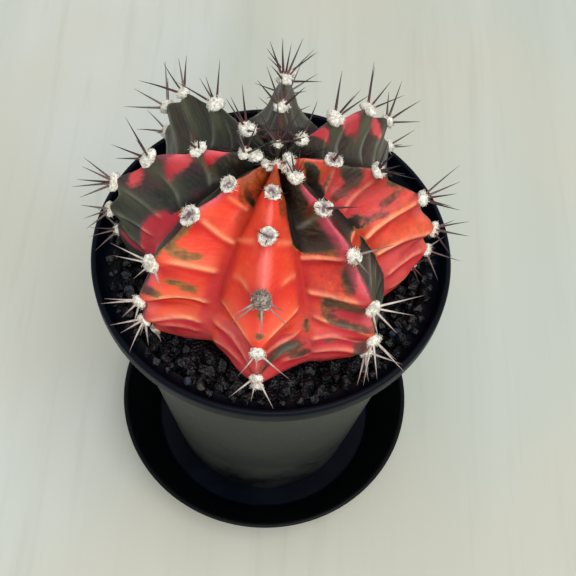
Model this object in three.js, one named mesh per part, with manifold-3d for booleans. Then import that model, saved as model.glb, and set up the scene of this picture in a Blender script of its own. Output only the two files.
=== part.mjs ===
// A potted moon cactus: a low ribbed cactus body with woolly areoles and spines, standing on black
// grit in a tapered plastic pot, on a plastic saucer.
// Millimetres, +Z up. The origin is the middle of the saucer's underside, on the table.

import * as THREE from 'three';
import { mergeVertices } from 'three/addons/utils/BufferGeometryUtils.js';
import Module from 'manifold-3d';

const wasm = await Module();
wasm.setup();

// Driving dimensions of the saucer
const SAUCER_HEIGHT = 16;
const SAUCER_BASE_R = 36;
const SAUCER_RIM_R = 45.5;
const SAUCER_FLOOR = 2;
const SAUCER_FLOOR_R = 34.5;
const SAUCER_LIP = 1.5;

// Driving dimensions of the pot
const POT_TOP = 102;
const POT_RIM_R = 45;
const POT_RIM_THICK = 1.6;
const POT_LIP_HEIGHT = 4.2;
const POT_WALL = 1.5;
const POT_FOOT_R = 28.5;
const POT_NECK_R = 40.2;
const POT_NECK_Z = 95.4;
const POT_RECESS = 2;
const POT_FLOOR_THICK = 1.6;
const DRAIN_R = 1.8;
const DRAIN_RING_R = 18;
const DRAIN_COUNT = 6;
const FOOT_NOTCHES = 4;

// Driving dimensions of the filling
const CLEARANCE = 0.3;
const MIX_TOP = 90;
const GRIT_TOP = 92.9;
const STONE_R = 2.5;
const STONE_RING_STEP = 3.2;
const STONE_PITCH = 3.3;
const STONE_INNER_R = 25.5;
const STONE_STRETCH = 1.15;
const STONE_GAP = 0.45;
const HALF_MESH = 1.6;
const ROOT_R = 9;
const ROOT_TIP_R = 5;
const ROOT_BOTTOM = 62;
const ROOT_SIDES = 12;

// Driving dimensions of the cactus body. Theta is the angle of the profile from the crown, in degrees.
const BODY_CENTRE_Z = 112.4;
const CREST_R = 39;
const CREST_HALF_HEIGHT = 30;
const CROWN_DIP = 3.2;
const CROWN_DIP_WIDTH = 14;
const FURROW_R = 24.5;
const FURROW_BASE_EXTRA = 7;
const FURROW_HALF_HEIGHT = 23;
const FURROW_LOW_STRETCH = 1.2;
const BASE_BULGE = 2.8;
const BASE_BULGE_AZIMUTH = -70;
const BASE_BULGE_WIDTH = 22;
const BASE_SHARPNESS = 0.9;
const ROUNDNESS = 2 / 2.18;
const THETA_END = 128;
const THETA_ROWS = 25;
const UNDERSIDE_SHARE = 0.88;
const NOTCH_DEPTH = 2.0;
const RIDGE_HEIGHT = 0.9;

// Profile angles of the areole levels 0 to 7, wide apart at mid height and close at the crown and base
const LEVEL_THETA = [3, 17, 34, 60, 84, 99, 114, 128];

// One entry a rib, clockwise seen from above, from the one that faces the viewer: azimuth in degrees,
// size factor, areole phase in levels, how full the flanks are above and below, and how many upper
// areoles have stubs
const RIBS = [
  { azimuth: -93, size: 1.01, phase: 0.7, full: 0.30, low: -0.46, stubs: 2 },
  { azimuth: -140, size: 0.985, phase: 0.05, full: 0.14, low: -0.28, stubs: 3 },
  { azimuth: -183, size: 1.015, phase: 0.4, full: 0.02, low: -0.12, stubs: 0 },
  { azimuth: -225, size: 1.035, phase: 0.65, full: -0.05, low: -0.12, stubs: 0 },
  { azimuth: -272, size: 1.0, phase: 0.1, full: -0.15, low: -0.12, stubs: 0 },
  { azimuth: -317, size: 0.985, phase: 0.45, full: -0.05, low: -0.12, stubs: 0 },
  { azimuth: -362, size: 0.98, phase: 0.0, full: 0.06, low: -0.12, stubs: 1 },
  { azimuth: -411, size: 0.98, phase: 0.4, full: 0.10, low: -0.26, stubs: 2 },
];
const LAST_AREOLE_LEVEL = 6.35;

// Columns across one rib, as shares of the way from the crest (0) to the furrows (-1 and 1)
const RIB_COLUMNS = [1, 0.74, 0.48, 0.26, 0.11, 0, -0.11, -0.26, -0.48, -0.74];

// Driving dimensions of the areoles, spines and the dried flower
const PAD_R_TOP = 2.15;
const PAD_R_LOW = 1.15;
const PAD_FLATNESS = 0.7;
const PAD_SUNK = 0.35;
const SPINE_LENGTH = 10.5;
const STUB_LENGTH = 2.4;
const SPINE_ROOT_R = 0.3;
const SPINE_SUNK = 1.4;
const SPINE_ANGLES = [0, 52, -52, 102, -102];
const STUB_ANGLES = [0, 110, -110];
const STONE_ROOM = 97.2;
const RIM_ROOM_R = 41.2;
const SHOULDER_Z = 100;
const SHOULDER_ROOM_R = 37.9;
const FLOWER_RIB = 0;
const FLOWER_AREOLE = 2;
const FLOWER_LENGTH = 7;
const FLOWER_R = 1.9;

const SEED = 5;

const rad = THREE.MathUtils.degToRad;
const { clamp, lerp, smoothstep } = THREE.MathUtils;

// A seeded stream of numbers in 0 to 1, so that every build is the same
function randomStream(seed) {
  let state = seed;
  return () => {
    state = (state * 1664525 + 1013904223) % 4294967296;
    return state / 4294967296;
  };
}

// Closed geometry to solid and back
function toSolid(geometry) {
  const bare = geometry.clone();
  bare.deleteAttribute('normal');
  bare.deleteAttribute('uv');
  const merged = mergeVertices(bare, 1e-4);
  return new wasm.Manifold(new wasm.Mesh({
    numProp: 3,
    vertProperties: Float32Array.from(merged.attributes.position.array),
    triVerts: Uint32Array.from(merged.index.array),
  }));
}

function toGeometry(solid) {
  const mesh = solid.getMesh();
  const geometry = new THREE.BufferGeometry();
  geometry.setAttribute('position', new THREE.BufferAttribute(mesh.vertProperties, 3));
  geometry.setIndex(new THREE.BufferAttribute(mesh.triVerts, 1));
  geometry.computeVertexNormals();
  return geometry;
}

// A turned solid about the Z axis from [radius, z] points, anticlockwise from the lowest on the axis
function turned(points, segments) {
  const profile = points.map(([radius, z]) => new THREE.Vector2(radius, z));
  return new THREE.LatheGeometry(profile, segments).rotateX(Math.PI / 2);
}

function upright(radiusTop, radiusLow, low, high, sides) {
  const geometry = new THREE.CylinderGeometry(radiusTop, radiusLow, high - low, sides);
  return geometry.rotateX(Math.PI / 2).translate(0, 0, (low + high) / 2);
}

// The saucer: a flat floor and a flared wall with a plain lip
function saucer() {
  return turned([
    [0, 0],
    [SAUCER_BASE_R, 0],
    [SAUCER_BASE_R + 0.8, 0.6],
    [SAUCER_RIM_R - 0.3, SAUCER_HEIGHT - 1],
    [SAUCER_RIM_R, SAUCER_HEIGHT - 0.5],
    [SAUCER_RIM_R - 0.3, SAUCER_HEIGHT],
    [SAUCER_RIM_R - SAUCER_LIP, SAUCER_HEIGHT],
    [SAUCER_FLOOR_R + 0.7, SAUCER_FLOOR + 1],
    [SAUCER_FLOOR_R, SAUCER_FLOOR],
    [0, SAUCER_FLOOR],
  ], 64);
}

// Radius of the pot's wall, outside and inside, at a height
function potOuter(z) {
  return lerp(POT_FOOT_R, POT_NECK_R, (z - SAUCER_FLOOR) / (POT_NECK_Z - SAUCER_FLOOR));
}

function potInner(z) {
  return potOuter(z) - POT_WALL;
}

const POT_FLOOR_Z = SAUCER_FLOOR + POT_RECESS + POT_FLOOR_THICK;

// The pot: a tapered wall under a stepped rim, a raised floor with drain holes, and a notched foot
function pot() {
  const lipBottom = POT_TOP - POT_LIP_HEIGHT;
  const rimInner = POT_RIM_R - POT_RIM_THICK;
  const recessTop = SAUCER_FLOOR + POT_RECESS;
  const wall = toSolid(turned([
    [0, recessTop],
    [POT_FOOT_R - 2.6, recessTop],
    [POT_FOOT_R - 2, SAUCER_FLOOR],
    [POT_FOOT_R, SAUCER_FLOOR],
    [POT_NECK_R, POT_NECK_Z],
    [POT_RIM_R - 1.6, lipBottom - 0.8],
    [POT_RIM_R, lipBottom],
    [POT_RIM_R, POT_TOP - 0.6],
    [POT_RIM_R - 0.5, POT_TOP],
    [rimInner + 0.3, POT_TOP],
    [rimInner, POT_TOP - 0.5],
    [rimInner - 0.8, POT_TOP - 3.2],
    [potInner(POT_NECK_Z + 1.4) + 0.4, POT_NECK_Z + 1.5],
    [potInner(POT_NECK_Z - 1), POT_NECK_Z - 1],
    [potInner(POT_FLOOR_Z), POT_FLOOR_Z],
    [0, POT_FLOOR_Z],
  ], 64));
  const cuts = [];
  for (let k = 0; k < DRAIN_COUNT; k += 1) {
    const angle = (2 * Math.PI * k) / DRAIN_COUNT;
    const drill = upright(DRAIN_R, DRAIN_R, 0, POT_FLOOR_Z + 1, 12);
    cuts.push(toSolid(drill.translate(
      DRAIN_RING_R * Math.cos(angle), DRAIN_RING_R * Math.sin(angle), 0)));
  }
  for (let k = 0; k < FOOT_NOTCHES; k += 1) {
    const notch = new THREE.BoxGeometry(8, 2 * DRAIN_R, 3);
    notch.translate(POT_FOOT_R - 1, 0, SAUCER_FLOOR);
    cuts.push(toSolid(notch.rotateZ((2 * Math.PI * (k + 0.5)) / FOOT_NOTCHES)));
  }
  return toGeometry(wall.subtract(wasm.Manifold.union(cuts)));
}

// The potting mix: fills the pot under the grit, with a plain hole for the root
function pottingMix() {
  const holeR = ROOT_R + CLEARANCE;
  return turned([
    [0, POT_FLOOR_Z],
    [potInner(POT_FLOOR_Z) - CLEARANCE, POT_FLOOR_Z],
    [potInner(MIX_TOP) - CLEARANCE, MIX_TOP],
    [holeR, MIX_TOP],
    [ROOT_TIP_R + 2 * CLEARANCE, ROOT_BOTTOM - CLEARANCE],
    [0, ROOT_BOTTOM - CLEARANCE],
  ], 48);
}

// Rib geometry. Profiles of the crest line and the furrow line, as radius and height at an angle.
function roundedSine(theta) {
  return Math.abs(Math.sin(rad(theta))) ** ROUNDNESS;
}

function roundedCosine(theta) {
  const c = Math.cos(rad(theta));
  return Math.sign(c) * Math.abs(c) ** ROUNDNESS;
}

function crest(theta, size) {
  const r = CREST_R * size * roundedSine(theta);
  const dip = CROWN_DIP * Math.exp(-((r / CROWN_DIP_WIDTH) ** 2));
  return { r, z: BODY_CENTRE_Z + CREST_HALF_HEIGHT * roundedCosine(theta) - dip };
}

// The base is a little fuller towards the front right
function furrow(theta, azimuth) {
  const off = ((((azimuth - BASE_BULGE_AZIMUTH + 180) % 360) + 360) % 360) - 180;
  const extra = FURROW_BASE_EXTRA + BASE_BULGE * Math.exp(-((off / BASE_BULGE_WIDTH) ** 2));
  const r = (FURROW_R + extra * smoothstep(theta, 45, 115)) * roundedSine(theta);
  const stretch = theta > 90 ? FURROW_LOW_STRETCH : 1;
  const dip = (CROWN_DIP + 0.8) * Math.exp(-((r / 8) ** 2));
  const rise = FURROW_HALF_HEIGHT * roundedCosine(theta) * stretch;
  return { r, z: BODY_CENTRE_Z + rise - dip };
}

// The areole level at a profile angle, and the angle at a level
function levelAt(theta) {
  let k = 0;
  while (k < LEVEL_THETA.length - 2 && theta > LEVEL_THETA[k + 1]) k += 1;
  return k + clamp((theta - LEVEL_THETA[k]) / (LEVEL_THETA[k + 1] - LEVEL_THETA[k]), 0, 1);
}

function thetaAt(level) {
  const k = Math.min(Math.floor(level), LEVEL_THETA.length - 2);
  return lerp(LEVEL_THETA[k], LEVEL_THETA[k + 1], level - k);
}

// Half the angle between a rib and its neighbour: side 1 is anticlockwise, side -1 clockwise
function halfStep(rib, side) {
  const count = RIBS.length;
  const next = RIBS[(rib - side + count) % count].azimuth;
  const turn = ((next - RIBS[rib].azimuth) * side + 720) % 360;
  return turn / 2;
}

// Share of the way out from the furrow to the crest at p, where 0 is the crest and 1 the furrow.
// A straight line across the sector gives flat flanks; each rib swells or hollows that by its fullness,
// and near the base the section turns into a sharper keel.
function flankShare(p, crestR, furrowR, theta, { full, low }) {
  const soft = 0.05;
  const a = (Math.hypot(p, soft) - soft) / (Math.hypot(1, soft) - soft);
  const half = rad(22.5);
  const outer = Math.max(crestR, furrowR + 0.3);
  const chord = (outer * furrowR * Math.sin(half))
    / (outer * Math.sin(a * half) + furrowR * Math.sin((1 - a) * half));
  let share = (chord - furrowR) / (outer - furrowR);
  const upper = 1 - smoothstep(theta, 45, 88);
  const swell = lerp(full, low, smoothstep(theta, 64, 92)) - 0.24 * upper;
  share += swell * Math.sin(Math.PI * clamp(share, 0, 1));
  const keel = clamp(1 - a, 0, 1) ** (BASE_SHARPNESS - 1.2 * low);
  return lerp(share, keel, smoothstep(theta, 86, 108));
}

// Height of the flank's cross ridges through one areole spacing: a crisp lip, then a slow rise
function ridgeWave(t) {
  const u = (((t - 0.02) % 1) + 1) % 1;
  if (u < 0.22) return 0.5 + 0.5 * Math.cos((Math.PI * u) / 0.22);
  return (0.5 - 0.5 * Math.cos((Math.PI * (u - 0.22)) / 0.78)) ** 2;
}

// A point of the smooth ribbed body on a rib, at p across it, before ridges
function smoothPoint(rib, p, theta) {
  const { azimuth, size, phase } = RIBS[rib];
  const degrees = azimuth + p * halfStep(rib, p < 0 ? -1 : 1);
  const out = crest(theta, size);
  const low = furrow(theta, degrees);
  const share = flankShare(p, out.r, low.r, theta, RIBS[rib]);
  const t = (((levelAt(theta) - phase) % 1) + 1) % 1;
  const notch = NOTCH_DEPTH * clamp((theta - 8) / 14, 0, 1)
    * Math.sin(Math.PI * t ** 0.7) ** 2 * Math.exp(-((p / 0.33) ** 2));
  const r = lerp(low.r, out.r, share) - notch * Math.sin(rad(theta));
  const z = lerp(low.z, out.z, share) - 0.8 * notch * Math.cos(rad(theta));
  const turn = rad(degrees);
  return new THREE.Vector3(r * Math.cos(turn), r * Math.sin(turn), z);
}

// The outward direction of the smooth body, from two short steps along it
function outward(rib, p, theta) {
  const here = smoothPoint(rib, p, theta);
  const across = smoothPoint(rib, p + (p > 0 ? -0.04 : 0.04), theta).sub(here);
  const down = smoothPoint(rib, p, theta + 1).sub(here);
  const normal = across.cross(down).normalize();
  return p > 0 ? normal : normal.negate();
}

function bodyPoint(rib, p, theta) {
  const point = smoothPoint(rib, p, theta);
  const window = Math.sin(Math.PI * clamp(Math.abs(p), 0, 1) ** 0.8) ** 0.8
    * clamp((theta - 14) / 20, 0, 1) * (1 - smoothstep(theta, THETA_END - 10, THETA_END));
  const raised = RIDGE_HEIGHT * ridgeWave(levelAt(theta) - RIBS[rib].phase) * window;
  return raised > 0 ? point.addScaledVector(outward(rib, p, theta), raised) : point;
}

// The body as one closed grid: rows of the profile angle, columns round the ribs, a crown point, and
// a flat underside that sits on the grit
function bodyRings() {
  const rings = [];
  for (let row = 0; row < THETA_ROWS; row += 1) {
    const theta = lerp(5, THETA_END, row / (THETA_ROWS - 1));
    const ring = RIBS.flatMap((_, rib) => RIB_COLUMNS.map((p) => bodyPoint(rib, p, theta)));
    rings.push(ring);
  }
  const last = rings[rings.length - 1];
  rings.push(last.map((point) => new THREE.Vector3(
    point.x * UNDERSIDE_SHARE, point.y * UNDERSIDE_SHARE, GRIT_TOP)));
  return rings;
}

function body() {
  const rings = bodyRings();
  const columns = rings[0].length;
  const crown = new THREE.Vector3(0, 0, crest(0, 1).z);
  const foot = new THREE.Vector3(0, 0, GRIT_TOP);
  const points = [...rings.flat(), crown, foot];
  const crownIndex = points.length - 2;
  const footIndex = points.length - 1;
  const faces = [];
  for (let column = 0; column < columns; column += 1) {
    const next = (column + 1) % columns;
    faces.push(crownIndex, next, column);
    const lastRow = (rings.length - 1) * columns;
    faces.push(footIndex, lastRow + column, lastRow + next);
    for (let row = 0; row < rings.length - 1; row += 1) {
      const a = row * columns + column;
      const b = row * columns + next;
      faces.push(a, b, b + columns, a, b + columns, a + columns);
    }
  }
  const geometry = new THREE.BufferGeometry().setFromPoints(points);
  geometry.setIndex(faces);
  return toSolid(geometry);
}

// The areoles: place, outward normal, direction down the crest, sideways direction, and level
function areoles() {
  const list = [];
  RIBS.forEach(({ phase, stubs }, rib) => {
    for (let level = phase, order = 0; level <= LAST_AREOLE_LEVEL; level += 1, order += 1) {
      const theta = thetaAt(level);
      const place = smoothPoint(rib, 0, theta);
      const down = smoothPoint(rib, 0, theta + 1.5).sub(smoothPoint(rib, 0, theta - 1.5)).normalize();
      const azimuth = rad(RIBS[rib].azimuth);
      const side = new THREE.Vector3(-Math.sin(azimuth), Math.cos(azimuth), 0);
      const normal = side.clone().cross(down).normalize();
      if (normal.x * Math.cos(azimuth) + normal.y * Math.sin(azimuth) + normal.z < 0) normal.negate();
      const grow = smoothstep(theta, 70, 118);
      list.push({
        place, down, side, normal, theta, rib, order, grow, stub: order < stubs,
      });
    }
  });
  return list;
}

// Each areole's wool: a small faceted pad, larger near the crown
function woolPad({ place, normal, grow }) {
  const size = lerp(PAD_R_TOP, PAD_R_LOW, grow);
  const pad = new THREE.IcosahedronGeometry(1, 0);
  pad.scale(size, size, size * PAD_FLATNESS);
  const turn = new THREE.Quaternion().setFromUnitVectors(new THREE.Vector3(0, 0, 1), normal);
  pad.applyQuaternion(turn);
  const middle = place.clone().addScaledVector(normal, -PAD_SUNK);
  return toSolid(pad.translate(middle.x, middle.y, middle.z));
}

// A spine is bent up until it stays clear of the stones, and of the pot's rim where it is low
function staysClear(root, direction, length) {
  for (let step = 2; step <= 10; step += 1) {
    const point = root.clone().addScaledVector(direction, (length * step) / 10);
    const radius = Math.hypot(point.x, point.y);
    if (point.z < STONE_ROOM) return false;
    if (point.z < POT_TOP + 0.8 && radius > RIM_ROOM_R) return false;
    if (point.z < SHOULDER_Z && radius > SHOULDER_ROOM_R) return false;
  }
  return true;
}

function spine(root, direction, length) {
  const cone = new THREE.ConeGeometry(SPINE_ROOT_R, length + SPINE_SUNK, 3);
  cone.translate(0, (length - SPINE_SUNK) / 2, 0);
  const turn = new THREE.Quaternion().setFromUnitVectors(new THREE.Vector3(0, 1, 0), direction);
  cone.applyQuaternion(turn);
  cone.translate(root.x, root.y, root.z);
  return toSolid(cone);
}

function spinesOf(areole, random) {
  const { place, down, side, normal, theta, grow, stub } = areole;
  const solids = [];
  const erect = rad(lerp(58, 30, smoothstep(theta, 20, 95)));
  for (const angle of stub ? STUB_ANGLES : SPINE_ANGLES) {
    const around = rad(angle + 16 * (random() - 0.5));
    const lift = erect + 0.25 * (random() - 0.5);
    const reach = stub ? STUB_LENGTH : SPINE_LENGTH * (0.78 + 0.34 * random()) * lerp(1, 0.85, grow);
    const direction = down.clone().multiplyScalar(Math.cos(around) * Math.cos(lift));
    direction.addScaledVector(side, Math.sin(around) * Math.cos(lift));
    direction.addScaledVector(normal, Math.sin(lift)).normalize();
    for (let bend = 0; bend < 14 && !staysClear(place, direction, reach); bend += 1) {
      direction.z += 0.15;
      direction.normalize();
    }
    if (staysClear(place, direction, reach)) solids.push(spine(place, direction, reach));
  }
  return solids;
}

// The dried flower that clings to one areole of the front rib
function driedFlower({ place, normal, down }) {
  const flower = new THREE.IcosahedronGeometry(1, 0);
  flower.scale(FLOWER_R, FLOWER_R, FLOWER_LENGTH / 2);
  const lean = normal.clone().addScaledVector(down, -0.9).normalize();
  flower.applyQuaternion(new THREE.Quaternion().setFromUnitVectors(new THREE.Vector3(0, 0, 1), lean));
  const middle = place.clone().addScaledVector(lean, FLOWER_LENGTH * 0.28);
  flower.translate(middle.x, middle.y, middle.z);
  return toSolid(flower);
}

// The whole cactus, grown as one: body, root, wool, spines and dried flower
function cactus() {
  const random = randomStream(SEED);
  const root = upright(ROOT_R, ROOT_TIP_R, ROOT_BOTTOM, GRIT_TOP + 2, ROOT_SIDES);
  const solids = [body(), toSolid(root)];
  for (const areole of areoles()) {
    solids.push(woolPad(areole), ...spinesOf(areole, random));
    if (areole.rib === FLOWER_RIB && areole.order === FLOWER_AREOLE) solids.push(driedFlower(areole));
  }
  return toGeometry(wasm.Manifold.union(solids));
}

// One angular stone: an octahedron with its corners pushed about
function stone(centre, size, random) {
  const geometry = new THREE.OctahedronGeometry(1, 0);
  geometry.deleteAttribute('normal');
  geometry.deleteAttribute('uv');
  const merged = mergeVertices(geometry, 1e-4);
  const corners = merged.attributes.position;
  for (let k = 0; k < corners.count; k += 1) {
    const stretch = STONE_STRETCH - 0.35 * random();
    corners.setXYZ(k, corners.getX(k) * stretch, corners.getY(k) * stretch, corners.getZ(k) * stretch);
  }
  merged.scale(size, size * (0.75 + 0.25 * random()), size * 0.8);
  merged.rotateX(6 * random()).rotateY(6 * random()).rotateZ(6 * random());
  return toSolid(merged.translate(centre.x, centre.y, centre.z));
}

// The grit: a level bed that carries the cactus, with angular stones standing out of it all round.
// Stones keep clear of the cactus and of the pot's wall. Room is measured to the body's grid points,
// which lie up to half a mesh from the nearest point of a face.
function grit() {
  const random = randomStream(SEED + 1);
  const bed = toSolid(turned([
    [ROOT_R + CLEARANCE, MIX_TOP],
    [potInner(MIX_TOP) - CLEARANCE, MIX_TOP],
    [potInner(GRIT_TOP) - CLEARANCE, GRIT_TOP],
    [ROOT_R + CLEARANCE, GRIT_TOP],
    [ROOT_R + CLEARANCE, MIX_TOP],
  ], 48));
  const lowRings = bodyRings().slice(-12).flat();
  const outerR = potInner(GRIT_TOP) - CLEARANCE - STONE_R * STONE_STRETCH;
  const stones = [];
  for (let ringR = outerR; ringR > STONE_INNER_R; ringR -= STONE_RING_STEP) {
    const count = Math.round((2 * Math.PI * ringR) / STONE_PITCH);
    for (let k = 0; k < count; k += 1) {
      const size = STONE_R * (0.75 + 0.25 * random());
      const angle = (2 * Math.PI * (k + 0.5 * random())) / count;
      const radius = ringR - 0.8 * random();
      const centre = new THREE.Vector3(
        radius * Math.cos(angle), radius * Math.sin(angle), GRIT_TOP - 0.3 + 0.7 * random());
      const room = lowRings.reduce((least, point) => Math.min(least, point.distanceTo(centre)), 99);
      const need = Math.hypot(size * STONE_STRETCH + STONE_GAP, HALF_MESH);
      if (room > need) stones.push(stone(centre, size, random));
    }
  }
  return toGeometry(wasm.Manifold.union([bed, ...stones]));
}

// Colours and finishes
function material(color, roughness) {
  return new THREE.MeshStandardMaterial({ color, roughness, metalness: 0 });
}

function piece(name, geometry, look) {
  const mesh = new THREE.Mesh(geometry, look);
  mesh.name = name;
  return mesh;
}

const group = new THREE.Group();
group.add(
  piece('saucer', saucer(), material('#0f1216', 0.45)),
  piece('pot', pot(), material('#20242a', 0.5)),
  piece('potting_mix', pottingMix(), material('#2a211b', 0.95)),
  piece('grit', grit(), material('#15161a', 0.6)),
  piece('cactus', cactus(), material('#d8452f', 0.45)),
);

export default group;
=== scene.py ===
"""A potted moon cactus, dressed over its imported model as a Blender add-on.

Lengths in the shape functions are millimetres and become metres when a mesh is made. Theta is the angle
of the body's profile from the crown, in degrees. A place on a rib is given by p, the share of the way
from its crest (0) to a furrow (1 anticlockwise and -1 clockwise, seen from above), and by its order,
which counts the rib's areoles from the crown.
"""
import math

import bmesh
import bpy
import numpy as np
from bpy.props import FloatProperty, FloatVectorProperty, IntProperty, PointerProperty
from mathutils import Matrix, Vector


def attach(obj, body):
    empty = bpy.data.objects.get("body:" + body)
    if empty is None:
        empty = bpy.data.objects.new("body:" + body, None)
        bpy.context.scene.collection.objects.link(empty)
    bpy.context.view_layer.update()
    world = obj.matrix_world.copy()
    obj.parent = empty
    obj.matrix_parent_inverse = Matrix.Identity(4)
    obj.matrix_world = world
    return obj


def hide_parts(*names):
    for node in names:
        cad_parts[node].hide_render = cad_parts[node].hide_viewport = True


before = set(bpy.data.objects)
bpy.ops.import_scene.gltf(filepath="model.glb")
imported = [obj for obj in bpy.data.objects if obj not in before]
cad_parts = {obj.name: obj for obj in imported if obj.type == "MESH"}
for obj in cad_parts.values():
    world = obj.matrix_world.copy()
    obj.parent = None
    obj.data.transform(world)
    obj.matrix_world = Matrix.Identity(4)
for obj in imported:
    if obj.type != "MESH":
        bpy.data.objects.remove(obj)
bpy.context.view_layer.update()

bl_info = {
    "name": "Potted moon cactus",
    "version": (1, 0, 0),
    "blender": (4, 5, 0),
    "location": "View3D > Sidebar > Cactus",
    "description": "A ribbed cactus on lava grit in a nursery pot, dressed over its packed model",
    "category": "Add Mesh",
}

MM = 0.001

# Heights of the filling and profile of the body, the same as in the part's source
MIX_TOP = 90.0
GRIT_TOP = 92.9
ROOT_R = 9.0
ROOT_TIP_R = 5.0
ROOT_BOTTOM = 62.0
UNDERSIDE_SHARE = 0.88
BODY_CENTRE_Z = 112.4
CREST_R = 39.0
CREST_HALF_HEIGHT = 30.0
CROWN_DIP = 3.2
CROWN_DIP_WIDTH = 14.0
FURROW_R = 24.5
FURROW_BASE_EXTRA = 7.0
FURROW_HALF_HEIGHT = 23.0
FURROW_LOW_STRETCH = 1.2
BASE_BULGE = 2.8
BASE_BULGE_AZIMUTH = -70.0
BASE_BULGE_WIDTH = 22.0
BASE_SHARPNESS = 0.9
ROUNDNESS = 2 / 2.18
THETA_END = 128.0
NOTCH_DEPTH = 2.0
LEVEL_THETA = (3, 17, 34, 60, 84, 99, 114, 128)
LAST_AREOLE_LEVEL = 6.35

# Angles of the profile between which the shape changes, and the one where the body's grid starts
THETA_START = 2.0
FURROW_WIDENS = (45, 115)
UPPER_TO_LOWER = (45, 88)
FULL_TO_LOW = (64, 92)
CROWN_TO_FLANK = (8, 28)
FLANK_TO_BASE = (86, 108)
NOTCHES_START = (8, 22)
PLEATS_END = (118, 128)

# Rib section: softness of the crest, hollow of the upper flanks, share of the round section at the
# crown, its power on a flat rib and what fullness adds to it, and what a low value adds to the keel's
SECTOR = 45.0
CREST_SOFTNESS = 0.05
UPPER_HOLLOW = 0.24
CROWN_ROUNDING = 0.85
CROWN_POWER = 2.2
CROWN_FULLNESS = 7
KEEL_GAIN = 1.2

# Notches between areoles: skew towards the lower areole, half width in p, and share of depth that also
# lowers the crest
NOTCH_SKEW = 0.7
NOTCH_WIDTH = 0.33
NOTCH_DROP = 0.8

# Size on the skin, in millimetres: one degree down the profile, one p, one order, and the radius by
# which the flank map turns the azimuth into a length
DEGREE_DOWN = 0.62
P_ACROSS = 13
ORDER_DOWN = 15
FLANK_RADIUS = 36.0

# One column a rib, clockwise from the one that faces the viewer
RIB_AZIMUTH = np.array([-93.0, -140, -183, -225, -272, -317, -362, -411])
RIB_SIZE = np.array([1.01, 0.985, 1.015, 1.035, 1.0, 0.985, 0.98, 0.98])
RIB_PHASE = np.array([0.7, 0.05, 0.4, 0.65, 0.1, 0.45, 0.0, 0.4])
RIB_FULL = np.array([0.30, 0.14, 0.02, -0.05, -0.15, -0.05, 0.06, 0.10])
RIB_LOW = np.array([-0.46, -0.28, -0.12, -0.12, -0.12, -0.12, -0.12, -0.26])
RIB_COUNT = 8

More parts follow.
